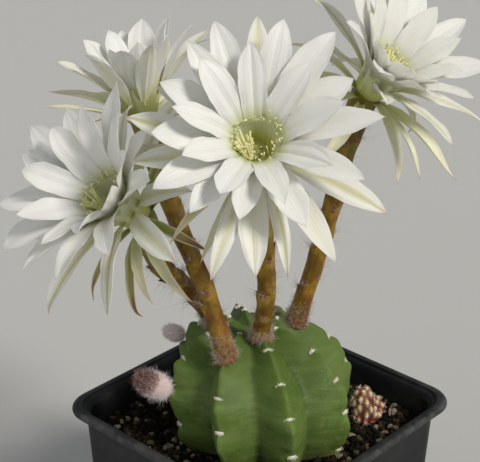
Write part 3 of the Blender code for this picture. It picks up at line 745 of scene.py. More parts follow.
def bodyFinish():
    look = Finish("cactusSkin", 0.5, **{"Specular IOR Level": 0.28})
    crest = look.attribute("fromCrest")
    height = look.attribute("height")
    streaks = look.noise(1.0, 4, look.stretched((70, 70, 420)), 0.6)
    blotch = look.noise(55, 4)
    # lighter green on the crest; the darkening towards the furrow floor is painted shade
    look.colour(look.ramp(
        crest + (blotch - 0.5) * 0.3, (0.0, body["crestGreen"]), (0.22, body["midGreen"]),
        (0.75, (0.072, 0.122, 0.022)), (1.0, body["shadedFurrowGreen"])))
    look.cover(look.within(blotch, 0.38, 0.68) * 0.5, (0.145, 0.205, 0.050))
    # fine streaks run down and out from the crest, with a pale dust over them
    feather = look.within(streaks, 0.42, 0.72) * look.within(crest, 0.05, 0.3)
    look.cover(feather * 0.40, (0.175, 0.238, 0.066))
    # painted highlight: a pale broken line along the crest
    edge = look.within(crest, 0.035, 0.0) * look.within(look.noise(200, 3), 0.45, 0.75)
    look.cover(edge * 0.3, (0.28, 0.29, 0.12))
    look.cover(look.within(height, 30.0, 50.0) * 0.4, (0.060, 0.105, 0.016))
    dust = look.within(look.noise(190, 6, roughness=0.75), 0.50, 0.78) * look.within(height, 40.0, 16.0)
    look.cover(dust * 0.5, (0.29, 0.34, 0.155))
    specks = look.within(look.noise(1300, 1), 0.72, 0.78)
    look.cover(specks * 0.35, (0.36, 0.38, 0.22))
    foot = look.within(height + blotch * 9, 10.0, 2.0)
    look.cover(foot * 0.75, body["cork"])
    look.rough(0.46 + blotch * 0.18 + foot * 0.3)
    look.bump(look.noise(1900, 2) * 0.35 + streaks * 0.8 + blotch * 0.6, 0.00035)
    look.translucent(0.10, (0.5, 1.0, 0.25), 0.002)
    return look


def makeBody():
    clearSelection()
    around = body["ribs"] * body["cellsARib"]
    bpy.ops.mesh.primitive_uv_sphere_add(segments=around, ring_count=body["rings"], radius=1)
    obj = newest("ribbedGlobe")
    local = pointsOf(obj)
    latitude = np.degrees(np.arcsin(np.clip(local[:, 2], -1, 1)))
    azimuth = np.degrees(np.arctan2(local[:, 0], -local[:, 1])) + body["firstRib"]
    waver = 0.35 * mm * np.sin(latitude * 0.21 + 2 * np.sin(np.radians(azimuth) * 3))
    points = bodyPoints(azimuth, latitude, chinAt(azimuth, latitude) + waver * (1 - fromCrest(azimuth)))
    setPoints(obj, points)
    giveValues(obj, fromCrest=fromCrest(azimuth), height=(points[:, 2] - soil["top"]) / mm)
    kept(obj, bodyFinish(), ["cactus_body"], angle=75)


# ---- flowers

# each flower: lengths are in mm, angles in degrees, and its tube runs by the via points to the mouth;
# an opening is how far a blade leans out at its root and at its tip;
# a petal is (angle, reach) and can add its breadth, how green it is and its own opening;
# a sepal is (angle, reach) and can add its own opening and its breadth;
# ripeness is how brown the sepals are, bunch is where the stamens lean and crowd is how many do

# each flower also gives the share of painted shade on its funnel's foot
flowers = {
    "front": {
        "rib": 1, "latitude": 77, "via": [(2, -9, 176), (0, -20, 212)],
        "mouth": (-3, -36, 249), "axis": (0.0, -0.72, 0.69), "funnel": 19,
        "opening": {"inner": (34, 64), "middle": (46, 84), "outer": (58, 104), "sepals": (62, 112)},
        "inner": [
            (12, 33), (52, 31), (95, 32), (132, 33), (168, 31), (205, 31), (246, 31), (285, 33), (328, 33),
        ],
        "middle": [
            (5, 44), (32, 37), (54, 45), (77, 42), (112, 43), (130, 40), (152, 37), (182, 35), (214, 42),
            (232, 36), (262, 32), (293, 38), (333, 40),
        ],
        "outer": [
            (89, 50), (148, 43), (172, 46), (192, 44), (253, 52, 0.7), (287, 50, 0.6), (331, 52),
            (266, 48, 1.2, 0.3), (303, 52, 1.15, 0.25),
        ],
        "sepals": [(20, 40), (64, 40), (120, 40), (180, 48), (222, 46), (242, 44), (308, 46), (350, 42)],
        "widths": {"inner": 11.4, "middle": 11.8, "outer": 10.2, "sepals": 4.6},
        "ripeness": (0.0, 0.5), "shadedFoot": 0.3,
        "bunch": (-4.5, -3.6), "crowd": 60, "stigma": (-0.45, 0.75, 0.8),
    },
    "left": {
        "rib": 6, "latitude": 64, "via": [(-34, 3, 174), (-43, -10, 190)],
        "mouth": (-50, -28, 221), "axis": (-0.62, -0.45, 0.64), "funnel": 20,
        "opening": {"inner": (28, 56), "middle": (42, 80), "outer": (56, 102), "sepals": (66, 132)},
        "inner": [
            (358, 29), (38, 31), (80, 32), (120, 33), (158, 33), (198, 33), (240, 32), (280, 30),
            (320, 29),
        ],
        "middle": [
            (22, 36), (68, 29), (109, 40), (146, 38), (171, 47), (186, 42), (211, 42.5), (238, 42),
            (268, 39), (296, 38.5), (334, 38),
        ],
        "outer": [(30, 36), (86, 45), (128, 42), (225, 44), (271, 48), (313, 47), (353, 49)],
        "sepals": [(2, 38), (62, 38), (110, 36), (200, 36), (258, 38), (300, 40), (313, 37), (334, 44)],
        "widths": {"inner": 11.2, "middle": 11.6, "outer": 9.6, "sepals": 5.0},
        "ripeness": (0.3, 1.0), "shadedFoot": 0.0,
        "bunch": (-3.5, -3.0), "crowd": 16, "stigma": (-0.35, 0.1, 1.0),
    },
    "back": {
        "rib": 0, "latitude": 55, "via": [(-24, -6, 176), (-34, 3, 198), (-45, 16, 226)],
        "mouth": (-51, 27, 244), "axis": (-0.14, 0.12, 0.98), "funnel": 14,
        "opening": {"inner": (12, 28), "middle": (20, 46), "outer": (40, 68), "sepals": (72, 94)},
        "inner": [(10, 22), (58, 24), (108, 25), (158, 27), (208, 29), (262, 26), (316, 23)],
        "middle": [(34, 27), (84, 29), (134, 31), (184, 32), (236, 29), (288, 28), (342, 26)],
        "outer": [
            (8, 32, 1.2, 0.1, (30, 40)), (60, 36, 1.2, 0.1, (28, 38)), (110, 41, 0.8, 0.3, (34, 56)),
            (158, 40), (210, 36), (262, 40), (312, 35, 1.3, 0.1, (40, 56)),
        ],
        "sepals": [
            (0, 32, (60, 96), 0.8), (46, 34), (92, 38), (140, 34), (178, 42), (206, 40), (250, 38),
            (292, 43, (46, 90), 1.5), (328, 40, (50, 82), 1.5),
        ],
        "widths": {"inner": 11.0, "middle": 11.0, "outer": 8.6, "sepals": 6.2},
        "ripeness": (0.0, 0.3), "shadedFoot": 0.7,
        "bunch": (-1.5, -3.0), "crowd": 30, "stigma": (0.0, 0.2, 1.0),
    },
    "right": {
        "rib": 3, "latitude": 64, "via": [(25, 14.5, 183), (31, 13, 210), (35.5, 12, 235)],
        "mouth": (43.8, 10.5, 260), "axis": (0.5, -0.33, 0.8), "funnel": 15,
        "opening": {"inner": (22, 44), "middle": (32, 66), "outer": (50, 92), "sepals": (76, 142)},
        "inner": [
            (12, 30), (52, 32), (92, 32), (132, 28), (172, 25), (212, 22), (252, 22), (292, 26), (332, 29),
        ],
        "middle": [
            (30, 38), (70, 38.5), (110, 39), (150, 38), (190, 35), (230, 33), (270, 34), (310, 38),
            (350, 38),
        ],
        "outer": [
            (18, 42), (60, 42), (102, 44, 0.7), (148, 42, 0.6), (206, 30, 1.3, 0.1, (46, 72)), (252, 42),
            (295, 44), (332, 44),
        ],
        "sepals": [
            (0, 42), (42, 38), (88, 40), (130, 42), (165, 38), (200, 38), (256, 38, (76, 136), 1.2),
            (274, 39, (76, 130), 0.8), (291, 50, (76, 118), 1.3), (328, 43),
        ],
        "widths": {"inner": 11.2, "middle": 11.4, "outer": 8.8, "sepals": 5.8},
        "ripeness": (0.0, 0.25), "shadedFoot": 0.1,
        "bunch": (1.5, 0.5), "crowd": 40, "stigma": (0.25, 0.15, 1.0),
    },
}

bloom = {
    "footRadius": 6.4 * mm,  # the funnel where it meets the tube
    "mouthRadius": 11.0 * mm,
    "wall": 1.4 * mm,
    "liningWall": 0.7 * mm,
    "rim": 0.90,  # the share of the funnel's length where the petals take over
    "whorlRoots": {"inner": (0.80, 1.5 * mm), "middle": (0.72, 0.8 * mm), "outer": (0.3, 0.4 * mm)},
    "sepalDrops": (2.4 * mm, 3.6 * mm, 4.8 * mm),
    "white": (0.86, 0.855, 0.81),
    "cream": (0.80, 0.78, 0.60),
    "rootGreen": (0.60, 0.63, 0.26),
    "sepalGreen": (0.30, 0.34, 0.075),
    "sepalPale": (0.74, 0.72, 0.50),
}


def flowerMatrix(flower):
    # from a flower that looks up Z, with its top to Y, to its place on the plant
    axis = Vector(flower["axis"]).normalized()
    right = Vector((0, 0, 1)).cross(axis).normalized()
    made = Matrix((right, axis.cross(right), axis)).transposed().to_4x4()
    made.translation = Vector(flower["mouth"]) * mm
    return made


def funnelRadius(share):
    return bloom["footRadius"] + (bloom["mouthRadius"] - bloom["footRadius"]) * share


def bladeHalfWidth(share, root, widest):
    # a pointed oval that is drawn out into a fine tip
    rise = root + (1 - root) * np.sin(np.pi / 2 * np.clip(share / widest, 0, 1)) ** 1.2
    fall = np.clip((share - widest) / (1 - widest), 0, 1)
    oval = (1 - np.clip(fall / 0.96, 0, 1) ** 2.2) ** 0.92
    point = 0.10 * np.clip((1 - fall) / 0.3, 0, 1) * fall**4 + 0.006
    return rise * oval * (1 - 0.25 * fall**3) + point


def bladePoints(strip, root, angle, length, width, opening, form, draw):
    # bends a flat strip into one petal or sepal of a flower that looks up Z
    across, share, sheet = pointsOf(strip).T
    share = 1 - (1 - share) ** 1.25  # finer rows at the tip
    steps = np.linspace(0, 1, 49)
    middle = (steps[1:] + steps[:-1]) / 2
    low, high = np.radians(opening)
    curl = math.radians(draw.normal(form["curl"], 14))
    turn = low + (high - low) * middle**0.8 + curl * np.clip((middle - 0.72) / 0.28, 0, 1) ** 2
    hug = np.clip(1 - middle * length / form["hug"], 0, 1) ** 1.5  # the root lies along the funnel's wall
    turn += (form["wallTurn"] - turn) * hug
    out = root[0] + np.append(0, np.cumsum(np.sin(turn))) * length / 48
    up = root[1] + np.append(0, np.cumsum(np.cos(turn))) * length / 48
    out, up, turn = (np.interp(share, steps, values) for values in (out, up, np.append(turn, turn[-1])))
    half = width / 2 * bladeHalfWidth(share, form["root"], form["widest"] + draw.uniform(-0.06, 0.06))
    phase = draw.uniform(0, 6.3, 4)
    fold, trough = draw.uniform(0.3, 1.8), draw.uniform(0.2, 1.9)
    nicks = np.sin(23 * share + phase[2] + 2 * np.sign(across)) + 0.6 * np.sin(41 * share + phase[3])
    half = half * (1 + form["nicks"] * nicks * np.abs(across))
    swell = np.sin(np.pi * np.clip(share, 0, 1)) ** 0.7
    lift = trough * form["channel"] * half * across**2
    lift -= fold * form["crease"] * np.exp(-((across / 0.16) ** 2)) * swell
    lift += fold * form["pleat"] * np.sin(np.pi * 2.6 * across + phase[0]) * swell
    ripple = np.sin(2 * np.pi * 1.7 * share + phase[1] + across)
    lift += form["wave"] * np.abs(across) ** 2.5 * ripple * swell
    normal = lift + sheet * form["thickness"] * (1 - 0.72 * np.abs(across) ** 3) * (1 - 0.5 * share**4)
    sway = draw.normal(0, form["sway"])
    sideways = across * half + sway * share**2.2 * length
    twist = math.radians(draw.normal(0, form["twist"])) * share**1.5
    cos, sin = np.cos(twist), np.sin(twist)
    sideways, normal = sideways * cos - normal * sin, sideways * sin + normal * cos
    out = out - normal * np.cos(turn)
    cos, sin = math.cos(math.radians(angle)), math.sin(math.radians(angle))
    up = up + normal * np.sin(turn)
    return np.stack([out * cos + sideways * sin, out * sin - sideways * cos, up], axis=1)


# root: the share of its width that a blade has there, widest: where along it, curl and twist in degrees
petalForm = {
    "thickness": 0.5 * mm, "channel": 0.16, "root": 0.72, "widest": 0.60,
    "crease": 0.32 * mm, "pleat": 0.20 * mm, "wave": 0.60 * mm, "sway": 0.035, "twist": 9, "curl": 4,
    "hug": 6 * mm, "wallTurn": 0.24, "nicks": 0.022,
}
outerForm = {**petalForm, "root": 0.30, "curl": 8, "twist": 14, "sway": 0.05, "crease": 0.45 * mm}
sepalForm = {
    "thickness": 0.6 * mm, "channel": 0.34, "root": 0.42, "widest": 0.42,
    "crease": 0.20 * mm, "pleat": 0.0, "wave": 0.30 * mm, "sway": 0.05, "twist": 16, "curl": 26,
    "hug": 4 * mm, "wallTurn": 0.5, "nicks": 0.03,
}


def veins(look, lines):
    # fine lines from root to tip that fade at the margins
    return look.noise(1.0, 3, look.uvStretched((lines, 1.1, 1)), 0.55)


def petalFinish():
    look = Finish("petalWhite", 0.48, **{"Sheen Weight": 0.12, "Sheen Roughness": 0.4})
    along, tone = look.uv(False), look.attribute("tone")
    line = veins(look, 13)
    look.colour(bloom["white"])
    look.cover(look.within(line, 0.35, 0.65) * 0.20, (0.73, 0.73, 0.67))
    look.cover(tone * 0.25, (0.84, 0.83, 0.74))
    rib = look.within(abs(look.uv() - 0.5), 0.10, 0.0)
    look.cover(rib * look.within(along, 0.75, 0.2) * 0.30, bloom["cream"])
    look.cover(look.within(along + (line - 0.5) * 0.06, 0.26, 0.03) * 0.85, bloom["rootGreen"])
    tip = look.within(along + look.noise(600, 2) * 0.02, 0.975, 1.0)
    look.cover(tip * 0.6, (0.62, 0.50, 0.33))
    look.bump(line + look.noise(1600, 2) * 0.2, 0.00028)
    look.translucent(0.35, (1.0, 0.95, 0.7), 0.0035)
    return look


def outerPetalFinish():
    look = Finish("petalCream", 0.5, **{"Sheen Weight": 0.1, "Sheen Roughness": 0.4})
    along, tone = look.uv(False), look.attribute("tone")
    line = veins(look, 14)
    look.colour(look.mix(look.within(line, 0.35, 0.65) * 0.3, (0.82, 0.81, 0.72), bloom["cream"]))
    band = look.within(abs(look.uv() - 0.5) + (line - 0.5) * 0.12, 0.26, 0.02)
    green = look.mix(tone, (0.60, 0.60, 0.30), (0.52, 0.50, 0.24))
    look.cover(band * (0.05 + tone * 0.8), green)
    look.cover(look.within(along, 0.30, 0.03) * 0.9, bloom["rootGreen"])
    tip = look.within(along, 0.84, 1.0)
    look.cover(tip * (0.25 + tone * 0.5), (0.55, 0.36, 0.22))
    look.bump(line * 1.2, 0.00025)
    look.translucent(0.3, (1.0, 0.95, 0.6), 0.003)
    return look


def sepalFinish():
    look = Finish("sepalSkin", 0.5)
    along, tone = look.uv(False), look.attribute("tone")
    line = veins(look, 9)
    pale = look.ramp(
        along, (0.0, (0.42, 0.47, 0.10)), (0.16, (0.62, 0.65, 0.32)), (0.45, (0.80, 0.79, 0.60)),
        (1.0, (0.78, 0.71, 0.55)))
    ripe = look.ramp(
        along, (0.0, (0.20, 0.25, 0.04)), (0.30, bloom["sepalGreen"]), (0.55, (0.36, 0.30, 0.10)),
        (0.75, (0.22, 0.085, 0.045)), (1.0, (0.26, 0.11, 0.08)))
    look.colour(look.mix(look.within(tone + (line - 0.5) * 0.3, 0.25, 0.75), pale, ripe))
    look.cover(look.within(line, 0.4, 0.65) * 0.22, (0.58, 0.55, 0.26))
    margin = look.within(abs(look.uv() - 0.5) + (line - 0.5) * 0.1, 0.24, 0.46)
    look.cover(margin * 0.8 * look.within(along, 1.0, 0.7), bloom["sepalPale"])
    look.bump(line, 0.0003)
    look.translucent(0.2, (1.0, 0.8, 0.4), 0.002)
    return look


def funnelFinish():
    look = Finish("funnelSkin", 0.5)
    along = look.uv(False)
    line = look.noise(1.0, 3, look.uvStretched((60, 1.5, 1)))
    look.colour(look.ramp(
        along + (line - 0.5) * 0.12, (0.0, (0.46, 0.51, 0.08)), (0.25, (0.64, 0.68, 0.22)),
        (0.5, (0.78, 0.80, 0.44)), (1.0, (0.86, 0.86, 0.72))))
    look.cover(look.within(line, 0.5, 0.7) * 0.45, (0.86, 0.87, 0.66))
    # painted shade: the funnel darkens towards its foot, by a share given for each flower
    footShade = look.ramp(
        along, (0.0, (0.060, 0.055, 0.014)), (0.45, (0.115, 0.125, 0.030)), (0.8, (0.36, 0.36, 0.18)),
        (1.0, (0.62, 0.61, 0.44)))
    look.cover(look.attribute("tone"), footShade)
    look.bump(line, 0.0003)
    look.translucent(0.25, (1.0, 0.95, 0.5), 0.003)
    return look


def throatFinish():
    look = Finish("throatGreen", 0.5)
    along = look.uv(False)
    line = look.noise(1.0, 3, look.uvStretched((90, 1.2, 1)))
    look.colour(look.ramp(
        along + (line - 0.5) * 0.25, (0.0, (0.74, 0.76, 0.16)), (0.4, (0.80, 0.81, 0.28)),
        (0.7, (0.86, 0.87, 0.50)), (1.0, (0.89, 0.90, 0.58))))
    look.bump(line, 0.0004)
    look.translucent(0.5, (1.0, 1.0, 0.5), 0.005)
    return look


def giveUv(obj, length):
    # across is the angle round Z, along is the height
    layer = obj.data.uv_layers.active or obj.data.uv_layers.new(name="UVMap")
    points = pointsOf(obj)
    angle = np.arctan2(points[:, 1], points[:, 0]) / (2 * np.pi) + 0.5
    corners = np.empty(len(obj.data.loops), int)
    obj.data.loops.foreach_get("vertex_index", corners)
    uvs = np.stack([angle[corners], np.clip(points[corners, 2] / length, 0, 1)], axis=1)
    starts = [face.loop_start for face in obj.data.polygons]
    for face, start in zip(obj.data.polygons, starts):
        ring = uvs[start:start + face.loop_total]
        if np.ptp(ring[:, 0]) > 0.5:
            ring[:, 0] = np.where(ring[:, 0] < 0.5, ring[:, 0] + 1, ring[:, 0])
    layer.data.foreach_set("uv", uvs.ravel())


def makeFluted(name, outline, sides, length, flutes):
    # a turned piece whose radius is drawn in and out round it
    piece = makeTurned(name, outline, sides)
    points = pointsOf(piece)
    points[:, :2] *= flutes(np.arctan2(points[:, 1], points[:, 0]), points[:, 2])[:, None]
    setPoints(piece, points)
    giveUv(piece, length)
    return piece


def makeFunnel(name, flower, turn):
    length, rim, wall = flower["funnel"] * mm, bloom["rim"], bloom["liningWall"]
    up = [(funnelRadius(s) - 0.5 * mm * s, s * length) for s in np.linspace(0, rim, 9)]
    down = [(funnelRadius(s) - bloom["wall"], s * length) for s in (rim - 0.02, 0.75, 0.6, 0.4, 0.2)]
    outline = [(funnelRadius(0) - 0.6 * mm, -0.3 * mm), *up, *down]
    funnel = makeFluted("funnel" + name.title(), outline, 72, length, lambda angle, height: (
        1 + 0.035 * np.cos(11 * angle + 0.5) * np.clip(height / length, 0, 1)))
    # the share of painted shade at the funnel's foot
    giveValues(funnel, tone=flower["shadedFoot"])
    kept(funnel, looks["funnel"], ["bloom_" + name], turn)
    shares = (0.22, 0.35, 0.5, 0.65, 0.78, rim - 0.04, rim + 0.02)
    flare = {shares[-1]: 0.9 * mm}  # the rim turns out among the petals' roots
    inset = bloom["wall"] + 0.2 * mm
    outside = [(funnelRadius(s) - inset + flare.get(s, 0), s * length) for s in shares]
    inside = [(r - wall * (0.4 + 0.6 * (1 - s)), z) for s, (r, z) in zip(shares, outside)]
    low = outside[0][1]
    outline = [(2.4 * mm, low - 1.2 * mm), *outside, *reversed(inside), (1.6 * mm, low + 0.5 * mm)]
    lining = makeFluted("throat" + name.title(), outline, 96, length, lambda angle, height: (
        1 - 0.03 * (0.5 + 0.5 * np.cos(32 * angle)) * (height > low * 1.05)))
    kept(lining, looks["throat"], ["throat_" + name], turn)


def makePetals(name, flower, turn):
    draw = np.random.default_rng(len(name) * 11 + flower["rib"])
    length = flower["funnel"] * mm
    strip = makeStrip("petalStrip", 10, 26)
    spots = {"inner": [], "middle": [], "outer": []}
    for whorl, (share, inset) in bloom["whorlRoots"].items():
        low, high = flower["opening"][whorl]
        root = (funnelRadius(share) - inset, share * length)
        form = outerForm if whorl == "outer" else petalForm
        for number, (angle, reach, *own) in enumerate(flower[whorl]):
            waver = 5 * math.sin(2.4 * number + len(name))
            opening = own[2] if len(own) > 2 else (low, high + waver)
            width = draw.uniform(0.86, 1.08) * flower["widths"][whorl] * (own[0] if own else 1) * mm
            spots[whorl].append(bladePoints(strip, root, angle, reach * mm, width, opening, form, draw))
    white = spots["inner"] + spots["middle"]
    petals = copied("petals" + name.title(), strip, white, draw.random(len(white)))
    kept(petals, looks["petal"], ["bloom_" + name], turn)
    greens = [own[1] if len(own) > 1 else draw.uniform(0.5, 1.0) for _, _, *own in flower["outer"]]
    outer = copied("outerPetals" + name.title(), strip, spots["outer"], greens)
    kept(outer, looks["outerPetal"], ["bloom_" + name], turn)
    dropped(strip)
    strip = makeStrip("sepalStrip", 6, 26)
    low, high = flower["opening"]["sepals"]
    blades = []
    for number, (angle, reach, *own) in enumerate(flower["sepals"]):
        opening, breadth = own or ((low, high + 12 * math.sin(3.1 * number + len(name))), 1.0)
        root = (bloom["footRadius"] - 1.4 * mm, -bloom["sepalDrops"][number % 3])
        width = flower["widths"]["sepals"] * mm * draw.uniform(0.8, 1.15) * breadth
        form = {**sepalForm, "curl": 0} if own else sepalForm
        blades.append(bladePoints(strip, root, angle, reach * mm, width, opening, form, draw))
    sepals = copied("sepals" + name.title(), strip, blades, draw.uniform(*flower["ripeness"], len(blades)))
    kept(sepals, looks["sepal"], ["tube_" + name], turn)
    dropped(strip)


# ---- stamens and stigma

stamens = {
    "ring": 46,
    "ringLength": (3.8, 7.4),  # mm
    "bedRadius": 3.6 * mm,  # the bunch's roots lie inside this
    "filament": 0.16 * mm,
    "anther": (0.29 * mm, 0.29 * mm, 0.68 * mm),
    "styleRadius": 0.9 * mm,
    "lobes": 13,
    "lobeLength": 8.5 * mm,
    "lobeRadius": 0.50 * mm,
    "filamentColour": (0.66, 0.68, 0.34),
    "antherColour": (0.90, 0.87, 0.60),
    "stigmaColour": (0.88, 0.86, 0.46),
}


def plainFinish(name, colour, dark, roughness, scale, depth):
    # a soft organic finish: two shades of one colour with a fine bump
    look = Finish(name, roughness)
    tone = look.attribute("tone")
    patch = look.noise(scale, 3)
    look.colour(look.mix(look.within(patch, 0.35, 0.7) * 0.6 + tone * 0.3, colour, dark))
    look.bump(patch, depth)
    look.translucent(0.2, (1.0, 0.9, 0.5), 0.0015)
    return look


def makeStamens(name, flower, turn):
    draw = np.random.default_rng(len(name) * 7 + 3)
    right, away, up = np.eye(3)
    length = flower["funnel"] * mm
    floor = 0.25 * length
    lean = np.array(flower["bunch"]) * mm
    rod = makeRod("filamentRod", 4, 6)
    strands = []
    for number in range(flower["crowd"]):
        ring = stamens["bedRadius"] * math.sqrt((number + 0.5) / flower["crowd"])
        root = swung(right, away, goldenAngle * number) * ring + up * floor
        spread = draw.normal(0, 2.0 * mm, 2)
        tip = np.array((*(lean * draw.uniform(0.7, 1.15) + spread), length * draw.uniform(0.72, 1.02)))
        room = funnelRadius(tip[2] / length) - bloom["wall"] - 1.4 * mm
        tip[:2] *= min(1, room / max(math.hypot(*tip[:2]), 1e-9))
        bend = unit(tip - root) * (0.22, 0.22, 0)
        strands.append((root, unit(tip - root) - bend, bend, np.linalg.norm(tip - root)))
    for number in range(stamens["ring"]):
        out = swung(right, away, 2 * math.pi * (number + draw.uniform(-0.3, 0.3)) / stamens["ring"])
        root = out * (funnelRadius(0.84) - bloom["wall"] - 1.0 * mm) + up * 0.80 * length
        way = unit(up + out * draw.uniform(-0.05, 0.5))
        sag = -out * draw.uniform(-0.05, 0.3)
        strands.append((root, way, sag, draw.uniform(*stamens["ringLength"]) * mm))
    tones = draw.random(len(strands))
    filaments = grown("filaments" + name.title(), rod, strands, stamens["filament"], tones, taper=0.35)
    kept(filaments, looks["filament"], ["throat_" + name], turn)
    roots, ways, sags, lengths = (np.array(part) for part in zip(*strands))
    tips = roots + lengths[:, None] * (ways + sags)
    heads = ways + 2 * sags + draw.normal(0, 0.45, ways.shape)
    pebble = makePebble("antherPebble", 0.7, (1, 1, 1))
    local = pointsOf(pebble) * stamens["anther"]
    local[:, 0] *= 1 + 0.35 * np.abs(local[:, 2]) / stamens["anther"][2]
    spots = []
    for tip, head in zip(tips, heads):
        turnTo = np.array(Vector(head).to_track_quat("Z", "Y").to_matrix())
        spots.append(local @ turnTo.T * draw.uniform(0.8, 1.2) + tip)
    anthers = copied("anthers" + name.title(), pebble, spots, draw.random(len(spots)))
    kept(anthers, looks["anther"], turn=turn)
    # the style lies in the bunch, and its lobes stand up out of it
    style = makeRod("styleRod", 10, 14)
    root, tip = up * floor * 0.6, np.array((lean[0] * 0.55, lean[1] * 1.25 - 1.0 * mm, length * 0.74))
    bend = unit(tip - root) * (0.15, 0.25, 0)
    stalk = [(root, unit(tip - root) - bend, bend, np.linalg.norm(tip - root))]
    pieces = [grown("stigma" + name.title(), style, stalk, stamens["styleRadius"], taper=0.1)]
    lobe = makeRod("lobeRod", 6, 7)
    angles = 2 * np.pi * np.arange(stamens["lobes"]) / stamens["lobes"]
    spreads = np.array([swung(right, away, angle) for angle in angles])
    ways = unit(np.array(flower["stigma"])) + 0.30 * spreads + draw.normal(0, 0.07, spreads.shape)
    sizes = stamens["lobeLength"] * draw.uniform(0.8, 1.15, len(ways))
    strands = [(tip + spread * 0.7 * mm, unit(way), spread * 0.06, size)
               for spread, way, size in zip(spreads, ways, sizes)]
    tones = draw.random(len(ways))
    pieces.append(grown("lobes", lobe, strands, stamens["lobeRadius"], tones, taper=0.15))
    kept(joined(*pieces), looks["stigma"], turn=turn)
    dropped(rod, pebble, style, lobe)


# ---- flower tubes

tube = {
    "radius": 3.9 * mm,
    "footRadius": 5.0 * mm,
    "mouthRadius": 6.4 * mm,
    "sides": 32,
    "rings": 110,
    "swelling": 0.55 * mm,  # under each scale
    "scales": 26,
    "hairsAScale": 20,
    "hairLength": (2.5, 7.5),  # mm
    "hairRadius": 0.045 * mm,
    "collarHairs": 1500,
    "collarLength": (0.9, 2.3),  # mm
    "collarRadius": 0.075 * mm,
    "collarReach": 0.115,  # as a share of the tube's length
    "olive": (0.165, 0.088, 0.010),
    "yellow": (0.34, 0.205, 0.024),
    "rust": (0.160, 0.038, 0.011),
}


def tubePath(flower, count):
    # the tube's middle line, from inside the rib to the funnel's foot
    here, out, _, _ = crestFrame(flower["rib"], flower["latitude"])
    foot = Vector(flower["mouth"]) * mm
    stops = [here - out * 14 * mm, here - out * 2 * mm, *(Vector(point) * mm for point in flower["via"])]
    stops += [foot, foot + Vector(flower["axis"]).normalized() * 24 * mm]
    path = []
    for share in np.linspace(0, 1, count):
        k, t = divmod((len(stops) - 3) * share**1.1, 1)
        if share == 1:
            k, t = k - 1, 1.0
        a, b, c, d = stops[int(k):int(k) + 4]
        bend, twist = a * 2 - b * 5 + c * 4 - d, b * 3 - a - c * 3 + d
        path.append((b * 2 + (c - a) * t + bend * t * t + twist * t**3) / 2)
    return path


def tubeRadius(share):
    foot = (tube["footRadius"] - tube["radius"]) * math.exp(-((share / 0.09) ** 2))
    top = (tube["mouthRadius"] - tube["radius"]) * (2 * max(share - 0.5, 0.0)) ** 1.6
    return tube["radius"] + foot + top


def tubeFrames(flower):
    # for each ring of the tube: its middle, its way and its two sides
    path = tubePath(flower, tube["rings"] + 1)
    side = Vector((1, 0, 0))
    frames = []
    for i, here in enumerate(path):
        way = (path[min(i + 1, len(path) - 1)] - path[max(i - 1, 0)]).normalized()
        if i == len(path) - 1:
            way = Vector(flower["axis"]).normalized()
        side = (side - way * side.dot(way)).normalized()
        frames.append((here, way, side, way.cross(side)))
    return np.array(frames)


def tubeFinish():
    look = Finish("tubeSkin", 0.5, **{"Specular IOR Level": 0.25})
    along = look.uv(False)
    mottle = look.noise(130, 5, roughness=0.6)
    grain = look.noise(1.0, 4, look.uvStretched((13, 6, 1)))
    swelling = look.attribute("swelling")
    look.colour(look.mix(look.within(mottle - swelling * 0.25, 0.30, 0.58), tube["yellow"], tube["olive"]))
    look.cover(look.within(along, 0.50, 0.95) * 0.8, (0.20, 0.185, 0.030))
    look.cover(look.within(grain, 0.50, 0.75) * 0.25, (0.40, 0.27, 0.045))
    patches = look.noise(95, 4, roughness=0.65)
    rust = look.within(patches + (grain - 0.5) * 0.3 + look.within(along, 0.35, 0.0) * 0.14, 0.54, 0.68)
    look.cover(rust * 0.6, tube["rust"])
    look.cover(look.within(look.attribute("scaleFoot"), 0.3, 0.9) * 0.6, tube["rust"])
    look.bump(grain * 0.5 + mottle * 0.8, 0.0004)
    look.translucent(0.15, (1.0, 0.6, 0.2), 0.002)
    return look


def scaleFinish(name, root, middle, tip):
    look = Finish(name, 0.5)
    along, tone = look.uv(False), look.attribute("tone")
    line = veins(look, 7)
    look.colour(look.ramp(along + (line - 0.5) * 0.3, (0.0, root), (0.4, root), (0.75, middle), (1.0, tip)))
    look.cover(look.within(abs(look.uv() - 0.5), 0.3, 0.48) * 0.4 + tone * 0.15, tip)
    look.bump(line, 0.0003)
    return look


def hairFinish(name, pale, dark, roughness=0.7):
    # fine hair: each strand has its own shade
    look = Finish(name, roughness, **{"Sheen Weight": 0.3, "Sheen Roughness": 0.4})
    look.colour(look.mix(look.attribute("tone") + (look.noise(500, 1) - 0.5) * 0.2, pale, dark))
    look.translucent(0.3, (1.0, 0.9, 0.8), 0.002)
    return look


def ringSpot(frames, share, angle):
    # a point on the tube, with the way out and the way up it
    low = min(int(share * (len(frames) - 1)), len(frames) - 2)
    blend = share * (len(frames) - 1) - low
    here, way, side, other = frames[low] * (1 - blend) + frames[low + 1] * blend
    out = unit(swung(side, other, angle))
    return here + out * tubeRadius(share), out, unit(way)


def scalePoints(strip, root, out, way, length, width, bulge):
    # a leafy scale that hugs the tube and turns out at its tip
    across, share, sheet = pointsOf(strip).T
    half = width / 2 * bladeHalfWidth(share, 0.75, 0.3)
    side = np.cross(way, out)
    rise = length * (bulge * share**1.6)
    away = rise - (across * half) ** 2 / (2 * tube["radius"]) + sheet * 0.35 * mm * (1 - 0.6 * share)
    climb = length * share * (1 - 0.25 * bulge * share)
    return root + np.outer(climb, way) + np.outer(away, out) + np.outer(across * half, side)


